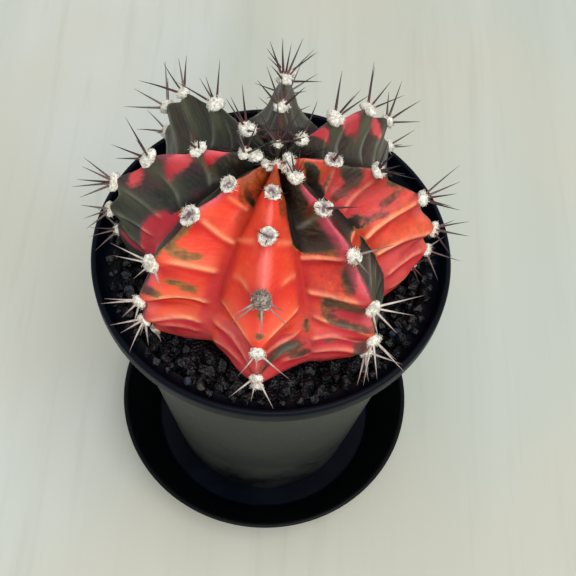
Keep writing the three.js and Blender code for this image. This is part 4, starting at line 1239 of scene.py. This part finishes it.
class CACTUS_OT_wool(bpy.types.Operator):
    """Add the wool tufts on the areoles and the crown"""

    bl_idname = "cactus.add_wool"
    bl_label = "Wool"

    def execute(self, context):
        look = context.scene.cactus_wool_look
        rng = np.random.default_rng(look.seed)
        youngest, lean, skew = 0.55, 0.05, 0.2
        tufts = []
        for areole in areole_list():
            low = smoothstep(areole["theta"], 70, 118)
            radius = (look.upper_radius * (1 - low) + look.lower_radius * low) / MM
            radius *= youngest + (1 - youngest) * smoothstep(areole["theta"], 4, 12)
            worn = (areole["rib"], areole["order"]) in WORN_AREOLES
            tufts.append((areole["place"], areole["normal"], areole["down"],
                          radius * rng.uniform(0.9, 1.12), float(worn)))
        for x, y, z, radius in CROWN_TUFTS:
            outward, along = unit(np.array([x * lean, y * lean, 1])), unit(np.array([1, skew * x, 0]))
            tufts.append(((x, y, z), outward, along, radius, 0.0))
        places, normals, downs, radii, worn = as_arrays(tufts)
        across = unit(np.cross(downs, normals))
        frames = places, across, unit(np.cross(normals, across)), normals
        domes = self.domes(frames, radii, worn, rng)
        points, faces, share = joined([domes, self.fibres(frames, radii, worn, look, rng)])
        piece = put_mesh("areole_wool", points, faces, wool_finish(look), {"worn": share})
        dress(piece, "cactus_flesh", "cactus")
        return {"FINISHED"}

    @staticmethod
    def domes(frames, radii, worn, rng):
        """Lumpy cushions: a sphere's rings, lower by TUFT_HEIGHT, with random lumps and two sine waves on
        the radius, and on worn tufts a dimple at the top that leaves a raised ring. Frames are each tuft's
        place and its directions across the rib, down it and outward."""
        places, across, down, normal = frames
        rings, sides = 9, 18
        first_ring, last_ring = 0.08, 0.97
        lump, two_waves, three_waves = 0.08, 0.12, 0.07
        shade_width = 0.82
        lat = np.linspace(first_ring, last_ring, rings) * np.pi
        lat, lon = np.meshgrid(lat, even_angles(sides), indexing="ij")
        count = len(places)
        size = radii[:, None, None]
        lumps = 1 + lump * rng.normal(size=(count, rings, sides))
        phase = rng.uniform(0, 6, size=(count, 1, 1))
        waves = two_waves * np.sin(2 * lon + phase) + three_waves * np.sin(3 * lon + 2 * phase)
        lumps = lumps + waves * np.sin(lat)
        wide = size * lumps * np.sin(lat)
        high = size * lumps * TUFT_HEIGHT * np.cos(lat)
        high = high - worn[:, None, None] * size * DIMPLE_DEPTH * bell(lat, DIMPLE_WIDTH, 4)
        body = (places[:, None, None] + high[..., None] * normal[:, None, None]
                + wide[..., None] * sideways(lon, across[:, None, None], down[:, None, None]))
        top = places + normal * (radii * (TUFT_HEIGHT - DIMPLE_DEPTH * worn))[:, None]
        foot = places - normal * (radii * TUFT_HEIGHT)[:, None]
        points = np.concatenate([body.reshape(count, -1, 3), top[:, None], foot[:, None]], 1)
        faces = copied(closed_rings(rings, sides), count, points.shape[1])
        share = worn[:, None] * np.append(bell(lat, shade_width, 4), [1, 0])
        return points.reshape(-1, 3), faces, share.ravel()

    @staticmethod
    def fibres(frames, radii, worn, look, rng):
        """Curled wool fibres: each starts on the cushion at a random place, leaves it partly outward and
        partly at random, and bends back, along a path of four points. One that would leave inward is
        turned outward."""
        places, across, down, normal = frames
        count, each = len(places), look.fibres
        lowest, wide, high, lift = 1.05, 0.96, 0.60, 0.15
        ordered, wild, turned_out = 0.35, 0.85, 1.4
        length_least, length_most, length_base, length_for_size = 0.5, 1.1, 0.7, 0.15
        random_bend, back_bend = 0.35, 0.25
        shade_width = 0.78
        lat = np.arccos(1 - rng.uniform(0, lowest, size=(count, each)))
        lon = rng.uniform(0, 2 * np.pi, size=(count, each))
        spread = sideways(lon, across[:, None], down[:, None])
        size = radii[:, None, None]
        dip = worn[:, None] * radii[:, None] * DIMPLE_DEPTH * bell(lat, DIMPLE_WIDTH, 4)
        start = (places[:, None] + wide * size * np.sin(lat)[..., None] * spread
                 + (high * radii[:, None] * np.cos(lat) - dip)[..., None] * normal[:, None])
        outward = spread * np.sin(lat)[..., None] + normal[:, None] * (np.cos(lat) + lift)[..., None]
        outward = unit(outward)
        leave = unit(ordered * outward + wild * unit(rng.normal(size=(count, each, 3))))
        leave = leave - turned_out * np.minimum((leave * outward).sum(-1, keepdims=True), 0) * outward
        length = look.fibre_length / MM * rng.uniform(length_least, length_most, size=(count, each, 1))
        length = (length * (length_base + length_for_size * size))[:, :, None]
        bend = random_bend * unit(rng.normal(size=(count, each, 3))) - back_bend * outward
        t = np.linspace(0, 1, len(FIBRE_RADII))[:, None]
        paths = start[:, :, None] + length * (t * leave[:, :, None] + t ** 2 * bend[:, :, None])
        paths = paths.reshape(-1, len(FIBRE_RADII), 3)
        widths = rng.uniform(0.8, 1.3, size=(len(paths), 1)) * FIBRE_RADII
        points, faces, _ = tubes(paths, widths, 3)
        share = worn[:, None] * bell(lat, shade_width, 4)
        return points, faces, np.repeat(share.ravel(), len(points) // len(paths))


class CACTUS_OT_spines(bpy.types.Operator):
    """Add the spines, as fans on each areole"""

    bl_idname = "cactus.add_spines"
    bl_label = "Spines"

    def execute(self, context):
        look = context.scene.cactus_spine_look
        rng = np.random.default_rng(look.seed)
        spines = []
        for areole in areole_list():
            place, down, side, normal = (areole[key] for key in ("place", "down", "side", "normal"))
            for turn, lift, length in self.fan(areole, rng):
                turn, lift = math.radians(turn), math.radians(lift)
                direction = (math.cos(lift) * (math.cos(turn) * down + math.sin(turn) * side)
                             + math.sin(lift) * normal)
                length *= look.length_share
                direction = self.clear(place, direction, length)
                bend = unit(np.cross(direction, rng.normal(size=3)))
                spines.append((place - normal * SPINE_SEAT, direction, bend, length + SPINE_SEAT,
                               self.paleness(areole, rng)))
        spines += self.crown(rng)
        points, faces, fields = self.grow(*as_arrays(spines), look, rng)
        piece = put_mesh("spines", points, faces, spine_finish(look), fields)
        dress(piece, "cactus_flesh", "cactus")
        return {"FINISHED"}

    @staticmethod
    def fan(areole, rng):
        """Turn, lift and length of the spines on one areole: those seen in the photo where there are any,
        else stubs or a fan of five that lies flatter low down."""
        key = (areole["rib"], areole["order"])
        if key in SPINE_FANS:
            return [(turn + rng.normal(scale=SPINE_STRAY), lift, length)
                    for turn, lift, length in SPINE_FANS[key]]
        if areole["order"] < STUB_AREOLES[areole["rib"]]:
            return [(turn + rng.normal(scale=STUB_STRAY), rng.uniform(*STUB_LIFT), rng.uniform(*STUB_LENGTH))
                    for turn in STUB_TURNS]
        upper, lower = FAN_LIFTS
        lift = upper + (lower - upper) * smoothstep(areole["theta"], 20, 95)
        return [(turn + rng.normal(scale=FAN_STRAY), lift + rng.normal(scale=FAN_STRAY),
                 rng.uniform(*FAN_LENGTH)) for turn in FAN_TURNS]

    @staticmethod
    def crown(rng):
        """Root, direction, bend, length and paleness of the crown's spines, which stand at random about
        its middle and lean a little to the back."""
        lean_back, lean_spread = 0.5, (1.0, 0.6)
        found = []
        for _ in range(CROWN_SPINES):
            x, y = (middle + rng.normal(scale=spread)
                    for middle, spread in zip(CROWN_SPINE_MIDDLE, CROWN_SPINE_SPREAD))
            lean_x, lean_y = (rng.normal(scale=spread) for spread in lean_spread)
            lean = np.array([lean_x, lean_back + lean_y, 1.0])
            bend = unit(np.cross(lean, rng.normal(size=3)))
            length = rng.uniform(*CROWN_SPINE_LENGTH)
            found.append(((x, y, CROWN_SPINE_ROOT), unit(lean), bend, length, 0.0))
        return found

    @staticmethod
    def clear(place, direction, length):
        """Bends a direction upward until its spine clears the stones and the pot's rim."""
        stone_top, rim_top, rim_inside = 96.6, 102.8, 41.8
        tries, lift = 16, 0.12
        share = np.linspace(0.2, 1, 9)[:, None]
        for _ in range(tries):
            path = place + direction * length * share
            radius, z = np.hypot(path[:, 0], path[:, 1]), path[:, 2]
            if (z > stone_top).all() and ((z > rim_top) | (radius < rim_inside)).all():
                break
            direction = unit(direction + np.array([0, 0, lift]))
        return direction

    @staticmethod
    def paleness(areole, rng):
        """Share of the pale colour: full on the front ribs' lower areoles, and slight on the others'."""
        start, end, most = (30, 70, 1.0) if areole["rib"] in FRONT_RIBS else (45, 90, 0.2)
        return np.clip(most * smoothstep(areole["theta"], start, end) + rng.normal(scale=0.08), 0, 1)

    @staticmethod
    def grow(roots, directions, sides, lengths, pale, look, rng):
        """Curved tapered tubes: straight along the direction plus the square of the share times a
        sideways bend, with a radius that falls as the share to the power 1.3."""
        rings, sides_of_spine = 8, 6
        root_share, full_length = 1.08, 8
        share = np.linspace(0, 1, rings)
        bend = look.curl * rng.normal(size=len(roots))[:, None, None] * lengths[:, None, None]
        paths = (roots[:, None] + directions[:, None] * (lengths[:, None] * share)[..., None]
                 + bend * (share ** 2)[:, None] * sides[:, None])
        thick = look.root_radius / MM * rng.uniform(0.85, 1.15, size=(len(roots), 1))
        thick = thick * np.clip(lengths[:, None] / full_length, 0.6, 1.05)
        points, faces, along = tubes(paths, thick * (root_share - share ** 1.3), sides_of_spine)
        return points, faces, {"share": along, "pale": np.repeat(pale, len(points) // len(roots))}


class CACTUS_OT_flower(bpy.types.Operator):
    """Add the dried flower on the front rib"""

    bl_idname = "cactus.add_flower"
    bl_label = "Dried flower"

    def execute(self, context):
        look = context.scene.cactus_wool_look
        rng = np.random.default_rng(look.seed + 1)
        areole = next(a for a in areole_list() if (a["rib"], a["order"]) == FLOWER_AREOLE)
        stand_out, to_crown, side = 1.1, 0.75, areole["side"]
        lean = unit(areole["normal"] - to_crown * areole["down"])
        upright = (areole["place"] + lean * stand_out, lean, side, np.cross(lean, side))
        points, faces, share = joined([self.ball(*upright, rng), self.hairs(*upright, rng)])
        piece = put_mesh("dried_flower", points, faces, flower_finish(look), {"share": share})
        dress(piece, "cactus_flesh", "cactus")
        return {"FINISHED"}

    @staticmethod
    def ball(middle, lean, side, other, rng):
        """An egg with random lumps and one sine wave on its radius."""
        rings, sides = 12, 20
        lump, wave, waves_round = 0.07, 0.06, 5
        first_ring, last_ring = 0.06, 0.96
        lat, lon = np.linspace(first_ring, last_ring, rings)[:, None] * np.pi, even_angles(sides)
        lumps = 1 + lump * rng.normal(size=(rings, sides)) + wave * np.sin(waves_round * lon) * np.sin(lat)
        wide, high = FLOWER_WIDE * lumps * np.sin(lat), FLOWER_HIGH * np.cos(lat) * lumps
        body = middle + wide[..., None] * sideways(lon, side, other) + high[..., None] * lean
        points = np.vstack([body.reshape(-1, 3), middle + FLOWER_HIGH * lean, middle - FLOWER_HIGH * lean])
        share = np.append(np.repeat((1 + np.cos(lat)) / 2, sides, 1), [1, 0])
        return points, closed_rings(rings, sides), share

    @staticmethod
    def hairs(middle, lean, side, other, rng):
        """Short fibres that lie over the egg towards its tip, curved by a random sideways step."""
        count = 700
        root_wide, root_high = 1.85, 2.4
        ordered, wild, random_bend = 0.5, 0.7, 0.5
        lat = np.arccos(rng.uniform(-0.9, 1, size=count))
        lon = rng.uniform(0, 2 * np.pi, size=count)
        spread = sideways(lon, side, other)
        root = root_wide * np.sin(lat)[:, None] * spread + root_high * np.cos(lat)[:, None] * lean
        leave = unit(ordered * (spread + lean) + wild * rng.normal(size=(count, 3)))
        bend = random_bend * rng.normal(size=(count, 3))
        length = rng.uniform(0.3, 0.7, size=(count, 1, 1))
        t = np.linspace(0, 1, len(FIBRE_RADII))[:, None]
        paths = middle + root[:, None] + length * (t * leave[:, None] + t ** 2 * bend[:, None])
        points, faces, _ = tubes(paths, np.tile(FIBRE_RADII, (count, 1)), 3)
        return points, faces, np.repeat((1 + np.cos(lat)) / 2, len(points) // count)


class CACTUS_OT_grit(bpy.types.Operator):
    """Add the lava stones and the level bed under them"""

    bl_idname = "cactus.add_grit"
    bl_label = "Lava grit"

    def execute(self, context):
        look = context.scene.cactus_grit_look
        rng = np.random.default_rng(look.seed)
        finish = lava_finish(look)
        dress(self.bed(finish, rng), "lava_grit", "grit")
        shapes = [self.chunk(rng) for _ in range(look.shapes)]
        groups = [self.layer(number, look, rng) for number in range(len(GRIT_LAYERS))]
        groups += [self.wall_ring(*ring, rng) for ring in WALL_RINGS]
        centres, sizes = (np.concatenate(group) for group in zip(*groups))
        kind = rng.integers(0, len(shapes), size=len(centres))
        parts = []
        for number, (shape, triangles) in enumerate(shapes):
            chosen = np.flatnonzero(kind == number)
            stones = self.placed(shape, centres[chosen], sizes[chosen], rng).reshape(-1, 3)
            tint = np.repeat(rng.uniform(0, 1, size=len(chosen)), len(shape))
            parts.append((stones, copied([triangles], len(chosen), len(shape)), tint))
        points, faces, tint = joined(parts)
        piece = put_mesh("grit_stones", points, faces, finish, {"tint": tint}, smooth=False)
        dress(piece, "lava_grit", "grit")
        return {"FINISHED"}

    @staticmethod
    def chunk(rng):
        """One angular stone: the convex hull of random directions at radii of 0.84 to 1."""
        count, nearest = 18, 0.84
        work = bmesh.new()
        for corner in unit(rng.normal(size=(count, 3))) * rng.uniform(nearest, 1.0, size=(count, 1)):
            work.verts.new(corner)
        result = bmesh.ops.convex_hull(work, input=work.verts[:])
        spare = [v for v in result["geom_interior"] if isinstance(v, bmesh.types.BMVert)]
        bmesh.ops.delete(work, geom=spare, context="VERTS")
        work.verts.index_update()
        corners = np.array([v.co[:] for v in work.verts])
        triangles = np.array([[v.index for v in face.verts] for face in work.faces])
        work.free()
        first, second, third = (corners[triangles[:, k]] for k in range(3))
        outward = (np.cross(second - first, third - first) * (first + second + third)).sum(-1)
        triangles[outward < 0] = triangles[outward < 0][:, ::-1]
        return corners, triangles

    @staticmethod
    def base_radius(azimuth):
        """Radius of the body where it meets the grit, at an azimuth in radians: the widest point of its
        last rows in each of 90 sectors, but no less than 20 mm."""
        sectors, least, grit_reach = 90, 20, 96.5
        rows, per_rib, low_rows = 120, 24, 12
        low = ribbed_surface(*body_grid(rows, per_rib))[-low_rows:]
        radius = np.hypot(low[..., 0], low[..., 1])

        def sector(angle):
            """Number of the sector that an angle in radians lies in."""
            return ((angle + np.pi) / (2 * np.pi) * sectors).astype(int) % sectors

        widest = np.zeros(sectors)
        inside = np.where(low[..., 2] < grit_reach, radius, 0)
        np.maximum.at(widest, sector(np.arctan2(low[..., 1], low[..., 0])), inside)
        return np.maximum(widest[sector(azimuth)], least)

    def layer(self, number, look, rng):
        """Centres and sizes of one layer of stones: a jittered hexagonal grid between the body's foot and
        the pot's wall, higher by the wall and moved a little from the layer below."""
        width, left, front = 96, -47, -41.5
        jitter, row_step, move = 0.17, 0.87, (1, 0.6)
        bank, uneven = 1.9, 0.35
        inside_wall, outside_body = 0.86, 0.35
        pitch, height = GRIT_LAYERS[number]
        count = int(width / pitch)
        i, j = np.meshgrid(np.arange(count), np.arange(count), indexing="ij")
        x = left + (i + 0.5 * (j % 2)) * pitch + rng.normal(scale=jitter * pitch, size=i.shape)
        y = front + j * pitch * row_step + rng.normal(scale=jitter * pitch, size=i.shape)
        x, y = x.ravel() + move[0] * number, y.ravel() + move[1] * number
        size = rng.uniform(0, 1, size=len(x)) ** 1.2
        size = (look.smallest + (look.largest - look.smallest) * size) / MM
        radius, azimuth = np.hypot(x, y), np.arctan2(y, x)
        z = height + bank * smoothstep(radius, 33, 40) + rng.normal(scale=uneven, size=len(x))
        wall = np.interp(z + 0.5, WALL_HEIGHTS, WALL_RADII)
        foot = self.base_radius(azimuth)
        keep = (radius + inside_wall * size < wall) & (radius > foot + outside_body * size)
        return np.column_stack([x, y, z])[keep], size[keep]

    @staticmethod
    def wall_ring(radius, height, largest, rng):
        """Centres and sizes of stones in a ring that lies against the pot's wall."""
        count = int(2 * np.pi * radius / RING_PITCH)
        azimuth = (np.arange(count) + rng.uniform(-0.3, 0.3, size=count)) * 2 * np.pi / count
        ring = radius - rng.uniform(0, 0.8, size=count)
        centres = polar(ring, azimuth, height + rng.normal(scale=0.3, size=count))
        return centres, largest * rng.uniform(0.75, 1.0, size=count)

    @staticmethod
    def placed(shape, centres, sizes, rng):
        """Copies of a shape, stretched along its axes, turned by random square matrices and moved."""
        count, flattest, longest = len(centres), 0.78, 1.08
        turn, _ = np.linalg.qr(rng.normal(size=(count, 3, 3)))
        turn = turn * np.sign(np.linalg.det(turn))[:, None, None]
        stretch = rng.uniform(flattest, longest, size=(count, 1, 3)) * sizes[:, None, None]
        return (shape[None] * stretch) @ turn + centres[:, None]

    @staticmethod
    def bed(material, rng):
        """A closed ring of fine grit round the root: its top is lumpy by random heights of half a
        millimetre."""
        rows, segments, lowest, highest = len(BED_RADII), 120, -0.4, 0.1
        z = np.repeat(np.array(BED_HEIGHTS)[:, None], segments, 1)
        z[BED_TOP] += rng.uniform(lowest, highest, size=z[BED_TOP].shape)
        points = polar(np.array(BED_RADII)[:, None], even_angles(segments), z).reshape(-1, 3)
        index = np.arange(rows * segments).reshape(rows, segments)
        ring, under = np.roll(index, -1, 1), np.roll(index, -1, 0)
        faces = np.stack([index, under, np.roll(ring, -1, 0), ring], -1).reshape(-1, 4)
        return put_mesh("grit_bed", points, [faces], material, {"tint": np.full(len(points), 0.1)})


class CACTUS_OT_pot(bpy.types.Operator):
    """Add the pot, with its stepped rim, raised floor, drain holes and notched foot"""

    bl_idname = "cactus.add_pot"
    bl_label = "Pot"

    def execute(self, context):
        look = context.scene.cactus_pot_look
        points, faces = turned(rounded(POT_SECTION, look.edge / MM), look.segments)
        piece = put_mesh("nursery_pot", points, faces, pot_finish(look))
        self.drill(piece)
        dress(piece, "pot_plastic", "pot")
        return {"FINISHED"}

    @staticmethod
    def drill(piece):
        """Cuts the drain holes through the floor and the notches through the foot."""
        work = bmesh.new()
        for angle in even_angles(HOLES):
            middle = polar(HOLE_CIRCLE, angle, HOLE_HEIGHT) * MM
            radius = HOLE_RADIUS * MM
            bmesh.ops.create_cone(
                work, cap_ends=True, segments=32, radius1=radius, radius2=radius, depth=HOLE_DEPTH * MM,
                matrix=Matrix.Translation(middle))
        for k in range(FOOT_NOTCHES):
            turn = Matrix.Rotation((k + 0.5) * 2 * math.pi / FOOT_NOTCHES, 4, "Z")
            move = Matrix.Translation((FOOT_NOTCH_CIRCLE * MM, 0, FOOT_NOTCH_HEIGHT * MM))
            size = Matrix.Diagonal((*(side * MM for side in FOOT_NOTCH_SIZE), 1))
            bmesh.ops.create_cube(work, size=1.0, matrix=turn @ move @ size)
        cutter_mesh = bpy.data.meshes.new("pot_cutter")
        work.to_mesh(cutter_mesh)
        work.free()
        cutter = bpy.data.objects.new("pot_cutter", cutter_mesh)
        bpy.context.scene.collection.objects.link(cutter)
        cut = piece.modifiers.new("holes", "BOOLEAN")
        cut.operation = "DIFFERENCE"
        cut.object = cutter
        cut.solver = "EXACT"
        ready = piece.evaluated_get(bpy.context.evaluated_depsgraph_get())
        finished = bpy.data.meshes.new_from_object(ready)
        piece.modifiers.clear()
        piece.data = finished
        finished.name = "nursery_pot"
        finished.polygons.foreach_set("use_smooth", np.ones(len(finished.polygons), bool))
        finished.set_sharp_from_angle(angle=math.radians(40))
        bpy.data.objects.remove(cutter)
        bpy.data.meshes.remove(cutter_mesh)


class CACTUS_OT_saucer(bpy.types.Operator):
    """Add the saucer"""

    bl_idname = "cactus.add_saucer"
    bl_label = "Saucer"

    def execute(self, context):
        look = context.scene.cactus_pot_look
        points, faces = turned(rounded(SAUCER_SECTION, look.edge / MM), look.segments)
        piece = put_mesh("pot_saucer", points, faces, saucer_finish(look))
        piece.data.set_sharp_from_angle(angle=math.radians(50))
        dress(piece, "saucer_plastic", "saucer")
        return {"FINISHED"}


class CACTUS_OT_mix(bpy.types.Operator):
    """Give the potting mix its peat finish"""

    bl_idname = "cactus.finish_mix"
    bl_label = "Potting mix"

    def execute(self, context):
        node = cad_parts["potting_mix"]
        node.data.materials.clear()
        node.data.materials.append(mix_finish())
        return {"FINISHED"}


class CACTUS_OT_stage(bpy.types.Operator):
    """Add the pale table, the soft light and the camera"""

    bl_idname = "cactus.add_stage"
    bl_label = "Table, light and camera"

    def execute(self, context):
        look = context.scene.cactus_stage_look
        self.table(look)
        self.light(look)
        self.camera()
        context.scene.view_settings.view_transform = "Standard"
        return {"FINISHED"}

    @staticmethod
    def table(look):
        """A square table top at height nought."""
        half_side = 900.0
        corners = np.array([(-1, -1, 0), (1, -1, 0), (1, 1, 0), (-1, 1, 0)]) * half_side
        table = put_mesh("table", corners, [np.array([[0, 1, 2, 3]])], table_finish(look))

    @staticmethod
    def light(look):
        """Even room light, and a square lamp that aims at a point on the axis just under the rim."""
        aim = Vector((0, 0, 0.1))
        world = bpy.data.worlds.new("room")
        world.use_nodes = True
        sky = world.node_tree.nodes["Background"]
        sky.inputs["Color"].default_value = (*look.tint, 1)
        sky.inputs["Strength"].default_value = look.sky
        bpy.context.scene.world = world
        lamp = bpy.data.lights.new("lamp_above", "AREA")
        lamp.energy = look.lamp
        lamp.size = look.lamp_size
        holder = bpy.data.objects.new("lamp_above", lamp)
        holder.location = look.lamp_place
        holder.rotation_euler = (aim - holder.location).to_track_quat("-Z", "Y").to_euler()
        bpy.context.scene.collection.objects.link(holder)

    @staticmethod
    def camera():
        """The photograph's view: a camera south of the pot and above it, turned so that the middle of the
        rim is seen a little left of and above the photo's middle."""
        down, roll, half_field = (math.radians(angle) for angle in (LOOK_DOWN, ROLL, FIELD / 2))
        focal = PHOTO_WIDTH / 2 / math.tan(half_field)
        c, s = math.cos(roll), math.sin(roll)
        aim = Vector((c * RIM_RIGHT + s * RIM_BELOW, s * RIM_RIGHT - c * RIM_BELOW, focal)).normalized()
        low, high = math.cos(down), math.sin(down)
        base = Matrix(((1, 0, 0), (0, high, low), (0, low, -high)))
        turn = Vector((0, 0, 1)).rotation_difference(aim).to_matrix()
        view = Matrix(((c, s, 0), (-s, c, 0), (0, 0, 1))) @ turn @ base
        data = bpy.data.cameras.new("camera")
        data.sensor_width, data.lens = SENSOR_WIDTH, SENSOR_WIDTH / 2 / math.tan(half_field)
        data.clip_start, data.clip_end = 0.01, 10
        camera = bpy.data.objects.new("camera", data)
        away = Vector((0, -low, high)) * RIM_DISTANCE
        columns = Matrix((view[0], view[1], -view[2])).transposed().to_4x4()
        camera.matrix_world = Matrix.Translation((Vector((0, 0, RIM_HEIGHT)) + away) * MM) @ columns
        bpy.context.scene.collection.objects.link(camera)
        bpy.context.scene.camera = camera


OPERATORS = (
    CACTUS_OT_body, CACTUS_OT_wool, CACTUS_OT_spines, CACTUS_OT_flower, CACTUS_OT_grit, CACTUS_OT_pot,
    CACTUS_OT_saucer, CACTUS_OT_mix, CACTUS_OT_stage,
)


class CACTUS_PT_panel(bpy.types.Panel):
    """Sidebar panel with every piece and its settings"""

    bl_idname = "CACTUS_PT_panel"
    bl_label = "Potted moon cactus"
    bl_space_type = "VIEW_3D"
    bl_region_type = "UI"
    bl_category = "Cactus"

    def draw(self, context):
        for operator in OPERATORS:
            self.layout.operator(operator.bl_idname)
        for key, group in LOOKS:
            box = self.layout.box()
            for name in group.__annotations__:
                box.prop(getattr(context.scene, key), name)


def register():
    for key, group in LOOKS:
        bpy.utils.register_class(group)
        setattr(bpy.types.Scene, key, PointerProperty(type=group))
    for operator in OPERATORS:
        bpy.utils.register_class(operator)
    bpy.utils.register_class(CACTUS_PT_panel)


def unregister():
    bpy.utils.unregister_class(CACTUS_PT_panel)
    for operator in reversed(OPERATORS):
        bpy.utils.unregister_class(operator)
    for key, group in reversed(LOOKS):
        delattr(bpy.types.Scene, key)
        bpy.utils.unregister_class(group)


def main():
    register()
    bpy.ops.cactus.add_stage()
    bpy.ops.cactus.add_saucer()
    bpy.ops.cactus.add_pot()
    bpy.ops.cactus.finish_mix()
    bpy.ops.cactus.add_grit()
    bpy.ops.cactus.add_body()
    bpy.ops.cactus.add_wool()
    bpy.ops.cactus.add_spines()
    bpy.ops.cactus.add_flower()


if __name__ == "__main__":
    main()
